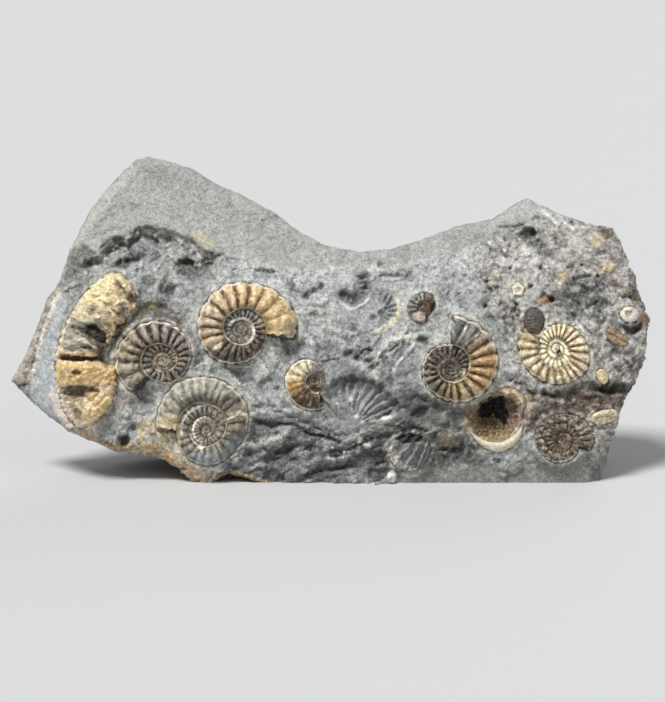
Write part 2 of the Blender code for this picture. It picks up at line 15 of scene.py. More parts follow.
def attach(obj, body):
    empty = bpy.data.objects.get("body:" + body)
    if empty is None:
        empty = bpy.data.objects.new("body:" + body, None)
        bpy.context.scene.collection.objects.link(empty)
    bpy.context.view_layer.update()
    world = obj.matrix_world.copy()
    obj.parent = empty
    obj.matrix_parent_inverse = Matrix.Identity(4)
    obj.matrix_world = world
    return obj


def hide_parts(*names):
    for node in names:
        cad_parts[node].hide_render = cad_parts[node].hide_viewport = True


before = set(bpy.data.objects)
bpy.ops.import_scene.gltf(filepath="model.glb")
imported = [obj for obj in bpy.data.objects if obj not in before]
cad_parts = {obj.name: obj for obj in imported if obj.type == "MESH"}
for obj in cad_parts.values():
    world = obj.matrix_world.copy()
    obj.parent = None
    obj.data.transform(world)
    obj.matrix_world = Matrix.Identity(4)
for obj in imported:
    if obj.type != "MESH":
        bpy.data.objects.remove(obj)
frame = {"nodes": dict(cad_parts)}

LOG = logging.getLogger("ammonite_cluster")
NOISE_SEED = 11
STROKE_SEED = 21.0

Pixels = tuple[float, float]
Colour = tuple[float, float, float]
Shade = tuple[int, int, int]


def mm(value: float) -> float:
    """Millimetres as metres."""
    return value * 0.001


def shade(red: int, green: int, blue: int) -> Colour:
    """A colour on the 0 to 255 scale of a display, as linear light."""
    parts = [channel / 255.0 for channel in (red, green, blue)]
    return tuple(part / 12.92 if part <= 0.04045 else ((part + 0.055) / 1.055) ** 2.4 for part in parts)


def smooth(low: float, high: float, value: np.ndarray) -> np.ndarray:
    """An S-curve from 0 at low to 1 at high; low may be the larger.

    Args:
        low: Value at which the curve leaves 0.
        high: Value at which the curve reaches 1.
        value: Where the curve is read.

    Returns:
        The curve's height at each value.
    """
    share = np.clip((value - low) / (high - low), 0.0, 1.0)
    return share * share * (3.0 - 2.0 * share)


def fractal(x: np.ndarray, y: np.ndarray, seed: float, size: float, octaves: int = 4,
            roughness: float = 0.9) -> np.ndarray:
    """Smooth random lumps of several sizes.

    Args:
        x: First coordinate of each point.
        y: Second coordinate of each point.
        seed: Slice of the noise that is read.
        size: Size of the largest lumps, in the units of x and y.
        octaves: How many times the lumps are halved.
        roughness: How fast the small lumps fade, from 0 for slowly to 1 for fast.

    Returns:
        Heights of about -1 to 1.
    """
    flat = zip((x / size).ravel().tolist(), (y / size).ravel().tolist())
    read = (noise.fractal((a, b, seed), roughness, 2.07, octaves) for a, b in flat)
    return np.fromiter(read, float, x.size).reshape(x.shape)


def ridged(x: np.ndarray, y: np.ndarray, seed: float, size: float, octaves: int = 4) -> np.ndarray:
    """Random crests with flat valleys between, as broken rock has.

    Args:
        x: First coordinate of each point.
        y: Second coordinate of each point.
        seed: Slice of the noise that is read.
        size: Size of the largest forms, in the units of x and y.
        octaves: How many times the forms are halved.

    Returns:
        Heights of about -1 to 1.
    """
    flat = zip((x / size).ravel().tolist(), (y / size).ravel().tolist())
    read = (noise.ridged_multi_fractal((a, b, seed), 0.9, 2.1, octaves, 1.0, 2.0) for a, b in flat)
    return np.fromiter(read, float, x.size).reshape(x.shape) - 1.0


def cells(x: np.ndarray, y: np.ndarray, seed: float, size: float) -> tuple[np.ndarray, np.ndarray]:
    """Cracked plates: distance to the crack round each plate, and a random number for each plate.

    Args:
        x: First coordinate of each point.
        y: Second coordinate of each point.
        seed: Slice of the pattern that is read.
        size: Size of a plate, in the units of x and y.

    Returns:
        The distance to the nearest crack, 0 on it, and the plate's number from 0 to 1.
    """
    gap = np.empty(x.size)
    number = np.empty(x.size)
    for index, (a, b) in enumerate(zip((x / size).ravel().tolist(), (y / size).ravel().tolist())):
        distance, place = noise.voronoi((a, b, seed))
        gap[index] = distance[1] - distance[0]
        number[index] = (place[0].x * 12.9 + place[0].y * 78.2 + place[0].z * 37.7) % 1.0
    return gap.reshape(x.shape), number.reshape(x.shape)


@dataclass(frozen=True)
class Face:
    """The block's leaning front, laid out on the photo: x right and y down in pixels, w out in metres.

    Attributes:
        pixel: Size of a pixel of the photograph, in metres.
        middle_x: Photo x of the model's middle.
        ground_y: Photo y of the height that the block stands on.
        lean: How far the face leans back, in radians.
        depth_middle: How far the face's foot stands in front of the model's middle, in metres.
        middle_y: Photo y of the middle of the picture.
        distance: Distance from the camera to the face, in metres.
    """

    pixel: float = 0.1917 / 639.0
    middle_x: float = 330.5
    ground_y: float = 485.0
    lean: float = math.radians(10.0)
    depth_middle: float = 0.0237
    middle_y: float = 351.0
    distance: float = 0.75

    PERSPECTIVE = (mm(-12.0), mm(10.0))

    @property
    def outward(self) -> Vector:
        """The direction out of the face."""
        return Vector((0.0, -math.cos(self.lean), math.sin(self.lean)))

    def world(self, x: np.ndarray, y: np.ndarray, w: np.ndarray) -> np.ndarray:
        """Places of points of the face.

        Args:
            x: Photo x of each point.
            y: Photo y of each point.
            w: Height of each point out of the face, in metres.

        Returns:
            An array of places, one row of three for each point.
        """
        w = np.asarray(w, float)
        spread = 1.0 - np.clip(w, *self.PERSPECTIVE) / self.distance
        u = (np.asarray(x, float) - self.middle_x) * self.pixel * spread
        v = (self.ground_y - self.middle_y + (self.middle_y - np.asarray(y, float)) * spread) * self.pixel
        sine, cosine = math.sin(self.lean), math.cos(self.lean)
        return np.stack(np.broadcast_arrays(u, v * sine - w * cosine - self.depth_middle,
                                            v * cosine + w * sine), -1)


FACE = Face()


# Marks on the face: each says how strongly it covers a place, from 0 to 1


@dataclass(frozen=True)
class Oval:
    """An ellipse of the face with a soft edge.

    Attributes:
        centre: Its middle, in photo pixels.
        radii: Its half sizes, in photo pixels.
        turn: Its turn in degrees, anticlockwise.
        soft: Share of its radius over which it fades.
    """

    centre: Pixels
    radii: Pixels
    turn: float = 0.0
    soft: float = 0.6

    def cover(self, x: np.ndarray, y: np.ndarray) -> np.ndarray:
        """Strength of the mark at each place."""
        c, s = math.cos(math.radians(self.turn)), math.sin(math.radians(self.turn))
        dx, dy = x - self.centre[0], y - self.centre[1]
        reach = np.hypot((dx * c - dy * s) / self.radii[0], (dx * s + dy * c) / self.radii[1])
        return smooth(1.0 + 0.5 * self.soft, 1.0 - 0.5 * self.soft, reach)


@dataclass(frozen=True)
class Patch:
    """A polygon of the face with a soft edge.

    Attributes:
        points: Its corners, in photo pixels.
        soft: Width over which it fades, in pixels.
    """

    points: tuple[Pixels, ...]
    soft: float = 3.0

    def cover(self, x: np.ndarray, y: np.ndarray) -> np.ndarray:
        """Strength of the mark at each place."""
        return smooth(-0.5 * self.soft, 0.5 * self.soft, inside_distance(x, y, self.points))


@dataclass(frozen=True)
class Line:
    """A stroke along a polyline of the face.

    Attributes:
        points: Its corners, in photo pixels.
        width: Its full width, in pixels.
        soft: Share of its width over which it fades.
        fade: Share of its length over which each end thins out.
    """

    points: tuple[Pixels, ...]
    width: float = 2.0
    soft: float = 1.0
    fade: float = 0.1

    def cover(self, x: np.ndarray, y: np.ndarray) -> np.ndarray:
        """Strength of the mark at each place."""
        away, along, _ = line_distance(x, y, self.points)
        ends = smooth(0.0, max(self.fade, 1e-3), along) * smooth(1.0, 1.0 - max(self.fade, 1e-3), along)
        half = 0.5 * self.width
        return smooth(half * (1.0 + self.soft), half * (1.0 - 0.5 * self.soft), away) * (0.25 + 0.75 * ends)


Mark = Oval | Patch | Line


def line_distance(x: np.ndarray, y: np.ndarray,
                  points: Sequence[Pixels]) -> tuple[np.ndarray, np.ndarray, np.ndarray]:
    """Distance to a polyline.

    Args:
        x: Photo x of each place.
        y: Photo y of each place.
        points: The polyline's corners.

    Returns:
        The distance, the share of the line's length at the nearest place, and the side, 1 on the left of its
        direction as the photo shows it and -1 on the right.
    """
    lengths = [max(math.dist(a, b), 1e-6) for a, b in zip(points, points[1:])]
    total, run = sum(lengths), 0.0
    best = np.full(x.shape, 1e9)
    along = np.zeros(x.shape)
    side = np.zeros(x.shape)
    for (a, b), length in zip(zip(points, points[1:]), lengths):
        ex, ey = (b[0] - a[0]) / length, (b[1] - a[1]) / length
        dx, dy = x - a[0], y - a[1]
        t = np.clip(dx * ex + dy * ey, 0.0, length)
        away = np.hypot(dx - t * ex, dy - t * ey)
        near = away < best
        best = np.where(near, away, best)
        along = np.where(near, (run + t) / total, along)
        side = np.where(near, np.where(dx * ey - dy * ex > 0, 1.0, -1.0), side)
        run += length
    return best, along, side


def inside_distance(x: np.ndarray, y: np.ndarray, points: Sequence[Pixels]) -> np.ndarray:
    """Distance to a polygon's edge, positive inside it and negative outside.

    Args:
        x: Photo x of each place.
        y: Photo y of each place.
        points: The polygon's corners.

    Returns:
        The signed distance in pixels.
    """
    closed = tuple(points) + (points[0],)
    away, _, _ = line_distance(x, y, closed)
    inside = np.zeros(x.shape, bool)
    for (ax, ay), (bx, by) in zip(closed, closed[1:]):
        if ay == by:
            continue
        crosses = (ay > y) != (by > y)
        inside ^= crosses & (x < (bx - ax) * (y - ay) / (by - ay) + ax)
    return np.where(inside, away, -away)


@dataclass(frozen=True)
class Carve:
    """A change of height: a mark raised or sunk, level or leaning, or flattened to a plane.

    Attributes:
        mark: Where it is.
        height: How far it raises the rock at the mark's full strength, in millimetres; negative sinks it.
        lean: Extra rise for each pixel right and for each pixel down from the pivot, in millimetres.
        pivot: Where the lean adds nothing.
    """

    mark: Mark
    height: float
    lean: Pixels = (0.0, 0.0)
    pivot: Pixels = (0.0, 0.0)

    def rise(self, x: np.ndarray, y: np.ndarray) -> np.ndarray:
        """Height added at each place, in metres."""
        slope = self.lean[0] * (x - self.pivot[0]) + self.lean[1] * (y - self.pivot[1])
        return mm(1.0) * self.mark.cover(x, y) * (self.height + slope)


@dataclass(frozen=True)
class Ledge:
    """A broken layer's edge: the rock drops on one side of a line and eases back with distance.

    Attributes:
        points: The edge, in photo pixels; the drop is on the right of its direction as the photo shows it.
        drop: Depth of the step, in millimetres.
        reach: Distance over which the step eases out, in pixels.
        crisp: Width of the step itself, in pixels.
    """

    points: tuple[Pixels, ...]
    drop: float
    reach: float = 20.0
    crisp: float = 2.0

    def rise(self, x: np.ndarray, y: np.ndarray) -> np.ndarray:
        """Height added at each place, in metres."""
        away, along, side = line_distance(x, y, self.points)
        ends = smooth(0.0, 0.08, along) * smooth(1.0, 0.92, along)
        below = np.where(side < 0, smooth(0.0, self.crisp, away) * smooth(self.reach, 0.2 * self.reach, away),
                         0.0)
        return -mm(self.drop) * below * ends


@dataclass(frozen=True)
class RibFan:
    """Ribs of a lost shell left in the rock: rays from a centre between two radii.

    Attributes:
        centre: Where the rays meet, in photo pixels.
        inner: Radius at which they begin, in pixels.
        outer: Radius at which they end, in pixels.
        start: First angle in degrees, anticlockwise from the right.
        end: Last angle in degrees.
        count: How many ribs there are.
        depth: Height from groove to crest, in millimetres.
        curl: How far a rib leans over its length, in degrees.
    """

    centre: Pixels
    inner: float
    outer: float
    start: float
    end: float
    count: int
    depth: float
    curl: float = 0.0

    def rise(self, x: np.ndarray, y: np.ndarray) -> np.ndarray:
        """Height added at each place, in metres."""
        dx, dy = x - self.centre[0], self.centre[1] - y
        radius = np.hypot(dx, dy)
        share = (radius - self.inner) / (self.outer - self.inner)
        angle = np.degrees(np.arctan2(dy, dx)) + self.curl * np.clip(share, 0.0, 1.0)
        turn = np.mod(angle - self.start, 360.0) / (self.end - self.start)
        window = smooth(-0.05, 0.2, share) * smooth(1.08, 0.9, share)
        window = window * smooth(-0.04, 0.06, turn) * smooth(1.04, 0.94, turn)
        return mm(0.5 * self.depth) * window * np.cos(math.tau * self.count * turn)


def curve(points: Sequence[Pixels], share: np.ndarray, closed: bool = False) -> np.ndarray:
    """Places along a smooth curve through points.

    Args:
        points: The points, in photo pixels.
        share: Share of the way along, from 0 to 1.
        closed: Whether the curve runs back to its first point.

    Returns:
        One row of x and y for each share.
    """
    knots = np.array(points, float)
    if closed:
        knots = np.concatenate((knots[-1:], knots, knots[:2]))
    else:
        knots = np.concatenate((2 * knots[:1] - knots[1:2], knots, 2 * knots[-1:] - knots[-2:-1]))
    at = np.clip(share, 0.0, 1.0) * (len(knots) - 3)
    first = np.minimum(at.astype(int), len(knots) - 4)
    t = (at - first)[:, None]
    a, b, c, d = (knots[first + i] for i in range(4))
    square, cube = 2 * a - 5 * b + 4 * c - d, 3 * b - a - 3 * c + d
    return 0.5 * (2 * b + (c - a) * t + square * t ** 2 + cube * t ** 3)


def oval(centre: Pixels, radii: Pixels, turn: float = 0.0, corners: int = 16,
         start: float = 0.0) -> tuple[Pixels, ...]:
    """Corners of an ellipse.

    Args:
        centre: Its middle, in photo pixels.
        radii: Its half sizes, in pixels.
        turn: Its turn in degrees, anticlockwise.
        corners: How many corners it gets.
        start: Angle of the first corner, in degrees.

    Returns:
        The corners.
    """
    c, s = math.cos(math.radians(turn)), math.sin(math.radians(turn))
    places = []
    for step in range(corners):
        angle = math.radians(start) + math.tau * step / corners
        a, b = radii[0] * math.cos(angle), radii[1] * math.sin(angle)
        places.append((centre[0] + a * c - b * s, centre[1] - a * s - b * c))
    return tuple(places)


def ray(centre: Pixels, inner: float, outer: float, angle: float) -> tuple[Pixels, ...]:
    """Two places on a ray from a centre: two radii, and an angle in degrees anticlockwise from the right."""
    turn = math.radians(angle)
    return tuple((centre[0] + r * math.cos(turn), centre[1] - r * math.sin(turn)) for r in (inner, outer))


def ring(centre: Pixels, radius: float, start: float, end: float) -> tuple[Pixels, ...]:
    """Points of an arc.

    Args:
        centre: Its middle, in photo pixels.
        radius: Its radius, in pixels.
        start: Its first angle in degrees, anticlockwise from the right.
        end: Its last angle, in degrees.

    Returns:
        Thirteen points.
    """
    angles = np.radians(np.linspace(start, end, 13))
    return tuple(zip((centre[0] + radius * np.cos(angles)).tolist(),
                     (centre[1] - radius * np.sin(angles)).tolist()))


@dataclass(frozen=True)
class Stroke:
    """Colour laid over a mark.

    Attributes:
        mark: Where it is.
        colour: Its colour on the 0 to 255 scale of a display.
        strength: How far it hides what is under it at the mark's full strength.
        broken: How far grain breaks it up, from 0 for whole to 1 for a few specks.
        size: Size of the grains that break it up, in pixels.
    """

    mark: Mark
    colour: Shade
    strength: float = 1.0
    broken: float = 0.3
    size: float = 5.0


def near_mark(mark: Mark, x: np.ndarray, y: np.ndarray) -> np.ndarray:
    """Which places are near enough to a mark for it to cover them."""
    if isinstance(mark, Oval):
        reach = 1.4 * max(mark.radii)
        return (np.abs(x - mark.centre[0]) < reach) & (np.abs(y - mark.centre[1]) < reach)
    reach = 2.0 * mark.width if isinstance(mark, Line) else mark.soft
    xs, ys = zip(*mark.points)
    return (x > min(xs) - reach) & (x < max(xs) + reach) & (y > min(ys) - reach) & (y < max(ys) + reach)


def lay(colour: np.ndarray, strokes: Iterable[Stroke], x: np.ndarray, y: np.ndarray) -> np.ndarray:
    """Lays strokes over colours, in order.

    Args:
        colour: A row of three for each place, in linear light.
        strokes: The strokes.
        x: Photo x of each place.
        y: Photo y of each place.

    Returns:
        The painted colours.
    """
    result = colour.copy()
    for index, stroke in enumerate(strokes):
        near = near_mark(stroke.mark, x, y)
        if not near.any():
            continue
        cover = stroke.mark.cover(x[near], y[near])
        grain = 0.5 + 0.9 * fractal(x[near], y[near], STROKE_SEED + index, stroke.size, 4,
                                    0.5) + 0.3 * (cover - 0.7)
        low = 0.85 * stroke.broken - 0.15
        mask = 1.0 - min(1.0, 1.5 * stroke.broken) * (1.0 - smooth(low, low + 0.25, grain))
        result[near] = blend(result[near], shade(*stroke.colour), cover * stroke.strength * mask)
    return result


def carve(forms: Iterable["Form"], x: np.ndarray, y: np.ndarray) -> np.ndarray:
    """Sum of the heights that forms add at each place, in metres."""
    rise = np.zeros(x.shape)
    for form in forms:
        rise = rise + form.rise(x, y)
    return rise


Form = Carve | Ledge | RibFan


# Finishes


@dataclass(frozen=True)
class Finish:
    """A painted mineral surface: the piece's own tint with grain, and bump read in object space.

    The tint's alpha says how rough the surface is at each place.

    Attributes:
        name: The material's name.
        roughness: Its mean roughness.
        grain: How far fine grain lightens and darkens the tint.
        patches: How far patches a few grains across lighten and darken it where it is rough.
        chalk: How far the crests are whitened where it is rough.
        bump: Depth of the fine bump, in millimetres.
        broken: Depth of the broken facets where it is rough, in millimetres.
        specular: Strength of the dielectric gloss.
        sparkle: How far single grains turn glossy.
        chips: Lean of the small broken faces where it is rough; none if 0.
    """

    name: str
    roughness: float = 0.85
    grain: float = 0.25
    patches: float = 0.3
    chalk: float = 0.0
    bump: float = 0.12
    broken: float = 0.3
    specular: float = 0.35
    sparkle: float = 0.0
    chips: float = 0.0

    FINE_SCALE, MIDDLE_SCALE, CREST_SCALE = 2600.0, 900.0, 420.0
    CHIP_SCALES = (320.0, 850.0)
    CHIP_SHADES = (-0.12, 0.12)
    CHALK = (0.62, 0.62, 0.58, 1.0)

    def make(self) -> bpy.types.Material:
        """Builds the node material.

        Returns:
            The material, which reads the piece's tint attribute.
        """
        material = bpy.data.materials.new(self.name)
        material.use_nodes = True
        tree = material.node_tree
        shader = tree.nodes["Principled BSDF"]
        shader.inputs["Specular IOR Level"].default_value = self.specular
        place = tree.nodes.new("ShaderNodeTexCoord").outputs["Object"]
        tint = tree.nodes.new("ShaderNodeAttribute")
        tint.attribute_name = "tint"
        rough = tint.outputs["Alpha"]

        fine = self.noise(tree, place, self.FINE_SCALE, 3.0)
        middle = self.noise(tree, place, self.MIDDLE_SCALE, 4.0)
        crests = self.noise(tree, place, self.CREST_SCALE, 5.0, "RIDGED_MULTIFRACTAL")

        level = self.ranged(tree, fine, (0.3, 0.7), (1.0 - self.grain, 1.0 + self.grain))
        patch = self.ranged(tree, middle, (0.34, 0.66), (-self.patches, self.patches))
        level = self.math(tree, "MULTIPLY_ADD", patch, rough, level)
        leaning = [self.chip(tree, place, scale) for scale in self.CHIP_SCALES if self.chips]
        for _, share in leaning:
            lighter = self.ranged(tree, share, (0.3, 0.7), self.CHIP_SHADES)
            level = self.math(tree, "MULTIPLY_ADD", lighter, rough, level)
        colour = tree.nodes.new("ShaderNodeVectorMath")
        colour.operation = "SCALE"
        tree.links.new(tint.outputs["Color"], colour.inputs[0])
        tree.links.new(level, colour.inputs["Scale"])
        white = tree.nodes.new("ShaderNodeMix")
        white.data_type = "RGBA"
        white.inputs["B"].default_value = self.CHALK
        crest = self.ranged(tree, crests, (0.7, 1.6), (0.0, self.chalk))
        tree.links.new(self.math(tree, "MULTIPLY", crest, rough), white.inputs["Factor"])
        tree.links.new(colour.outputs["Vector"], white.inputs["A"])
        tree.links.new(white.outputs["Result"], shader.inputs["Base Color"])

        gloss = (min(1.0, self.roughness + 0.08), max(0.05, self.roughness - 0.08 - self.sparkle))
        tree.links.new(self.ranged(tree, fine, (0.35, 0.68), gloss), shader.inputs["Roughness"])

        facets = self.math(tree, "MULTIPLY_ADD", middle, 0.7, self.math(tree, "MULTIPLY", crests, 0.35))
        facets = self.math(tree, "MULTIPLY", facets, self.broken)
        for lean, _ in leaning:
            facets = self.math(tree, "MULTIPLY_ADD", lean, 1000.0 * self.chips, facets)
        facets = self.math(tree, "MULTIPLY", facets, rough)
        height = self.math(tree, "MULTIPLY_ADD", fine, self.bump, facets)
        bump = tree.nodes.new("ShaderNodeBump")
        bump.inputs["Strength"].default_value = 1.0
        bump.inputs["Distance"].default_value = mm(1.0)
        tree.links.new(height, bump.inputs["Height"])
        tree.links.new(bump.outputs["Normal"], shader.inputs["Normal"])
        return material

    @staticmethod
    def noise(tree: bpy.types.NodeTree, place: bpy.types.NodeSocket, scale: float, detail: float,
              kind: str = "FBM") -> bpy.types.NodeSocket:
        """Adds noise in object space and gives its socket."""
        node = tree.nodes.new("ShaderNodeTexNoise")
        node.noise_type = kind
        node.inputs["Scale"].default_value = scale
        node.inputs["Detail"].default_value = detail
        node.inputs["Roughness"].default_value = 0.6
        tree.links.new(place, node.inputs["Vector"])
        return node.outputs["Fac"]

    @staticmethod
    def chip(tree: bpy.types.NodeTree, place: bpy.types.NodeSocket,
             scale: float) -> tuple[bpy.types.NodeSocket, bpy.types.NodeSocket]:
        """Adds small broken faces, each leaning its own way, and gives their height and a random colour."""
        warp = tree.nodes.new("ShaderNodeTexNoise")
        warp.inputs["Scale"].default_value = 0.8 * scale
        cell = tree.nodes.new("ShaderNodeTexVoronoi")
        cell.inputs["Scale"].default_value = scale
        bend, away, lean, height = (tree.nodes.new("ShaderNodeVectorMath") for _ in range(4))
        for node, operation in ((bend, "MULTIPLY_ADD"), (away, "SUBTRACT"), (lean, "SUBTRACT"),
                                (height, "DOT_PRODUCT")):
            node.operation = operation
        bend.inputs[1].default_value = (0.9 / scale,) * 3
        lean.inputs[1].default_value = (0.5, 0.5, 0.5)
        for source, target in ((place, warp.inputs["Vector"]), (warp.outputs["Color"], bend.inputs[0]),
                               (place, bend.inputs[2]), (bend.outputs[0], cell.inputs["Vector"]),
                               (bend.outputs[0], away.inputs[0]), (cell.outputs["Position"], away.inputs[1]),
                               (cell.outputs["Color"], lean.inputs[0]), (away.outputs[0], height.inputs[0]),
                               (lean.outputs[0], height.inputs[1])):
            tree.links.new(source, target)
        return height.outputs["Value"], cell.outputs["Color"]

    @staticmethod
    def ranged(tree: bpy.types.NodeTree, value: bpy.types.NodeSocket, source: Pixels,
               target: Pixels) -> bpy.types.NodeSocket:
        """Maps a socket from one range to another, clamped, and gives the result's socket."""
        node = tree.nodes.new("ShaderNodeMapRange")
        for name, number in zip(("From Min", "From Max", "To Min", "To Max"), (*source, *target)):
            node.inputs[name].default_value = number
        tree.links.new(value, node.inputs["Value"])
        return node.outputs["Result"]

    @staticmethod
    def math(tree: bpy.types.NodeTree, operation: str,
             *values: bpy.types.NodeSocket | float) -> bpy.types.NodeSocket:
        """Joins sockets or numbers with a Math node and gives its socket."""
        node = tree.nodes.new("ShaderNodeMath")
        node.operation = operation
        for index, value in enumerate(values):
            if isinstance(value, float):
                node.inputs[index].default_value = value
            else:
                tree.links.new(value, node.inputs[index])
        return node.outputs[0]


class Slot(Enum):
    """The record's material slots."""

    LIMESTONE = "limestone"
    DARK = "dark_shell"
    GOLDEN = "golden_shell"
    GREY = "grey_shell"
    CREAM = "cream_shell"
    LINING = "shell_lining"
    CRINOID = "crinoid"
    CRYSTAL = "calcite_crystal"


FINISHES = {
    Slot.LIMESTONE: Finish("limestone", 0.88, 0.42, 0.42, 0.5, 0.14, 0.6, 0.3, 0.0, 0.45),
    Slot.DARK: Finish("dark_shell", 0.5, 0.24, 0.5, 0.22, 0.07, 0.3, 0.45),
    Slot.GOLDEN: Finish("golden_shell", 0.48, 0.2, 0.42, 0.16, 0.06, 0.26, 0.45),
    Slot.GREY: Finish("grey_shell", 0.62, 0.2, 0.4, 0.32, 0.07, 0.35, 0.4),
    Slot.CREAM: Finish("cream_shell", 0.6, 0.18, 0.38, 0.2, 0.08, 0.35, 0.4),
    Slot.LINING: Finish("shell_lining", 0.5, 0.12, 0.2, 0.1, 0.05, 0.25, 0.5),
    Slot.CRINOID: Finish("crinoid", 0.7, 0.15, 0.3, 0.2, 0.08, 0.3, 0.4),
    Slot.CRYSTAL: Finish("calcite_crystal", 0.42, 0.3, 0.4, 0.1, 0.2, 0.4, 0.6, 0.2),
}


def as_piece(bm: bmesh.types.BMesh, name: str, material: bpy.types.Material,
             replaced: Iterable[str] = ()) -> bpy.types.Object:
    """Puts a finished and painted mesh into the scene as a piece of the object.

    Args:
        bm: The mesh, already in place; it is freed.
        name: The piece's name.
        material: Its material.
        replaced: The solids that it stands for.

    Returns:
        The new object.
    """
    mesh = bpy.data.meshes.new(name)
    bm.to_mesh(mesh)
    bm.free()
    mesh.materials.append(material)
    item = bpy.data.objects.new(name, mesh)
    bpy.context.scene.collection.objects.link(item)
    for face in mesh.polygons:
        face.use_smooth = True
    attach(item, "root")
    for node in replaced:
        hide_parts(node)
    LOG.info("%s: %d triangles", name, sum(len(face.vertices) - 2 for face in mesh.polygons))
    return item


def move_all(bm: bmesh.types.BMesh, places: np.ndarray) -> None:
    """Moves every vertex of a mesh to its row of an array of places."""
    for vert, place in zip(bm.verts, places.tolist()):
        vert.co = place


def paint(bm: bmesh.types.BMesh, tints: np.ndarray, rough: float | np.ndarray = 1.0) -> None:
    """Gives every vertex of a mesh its row of an array of colours, and its roughness as their alpha."""
    layer = bm.verts.layers.float_color.new("tint")
    rows = np.column_stack((np.clip(tints, 0.0, 1.0), np.broadcast_to(rough, len(tints))))
    for vert, row in zip(bm.verts, rows.tolist()):
        vert[layer] = row


def blend(first: np.ndarray, second: Sequence[float] | np.ndarray, share: np.ndarray) -> np.ndarray:
    """Colours between first and second, by a share for each row."""
    return first + (np.asarray(second) - first) * np.asarray(share)[..., None]


# The coiled shells


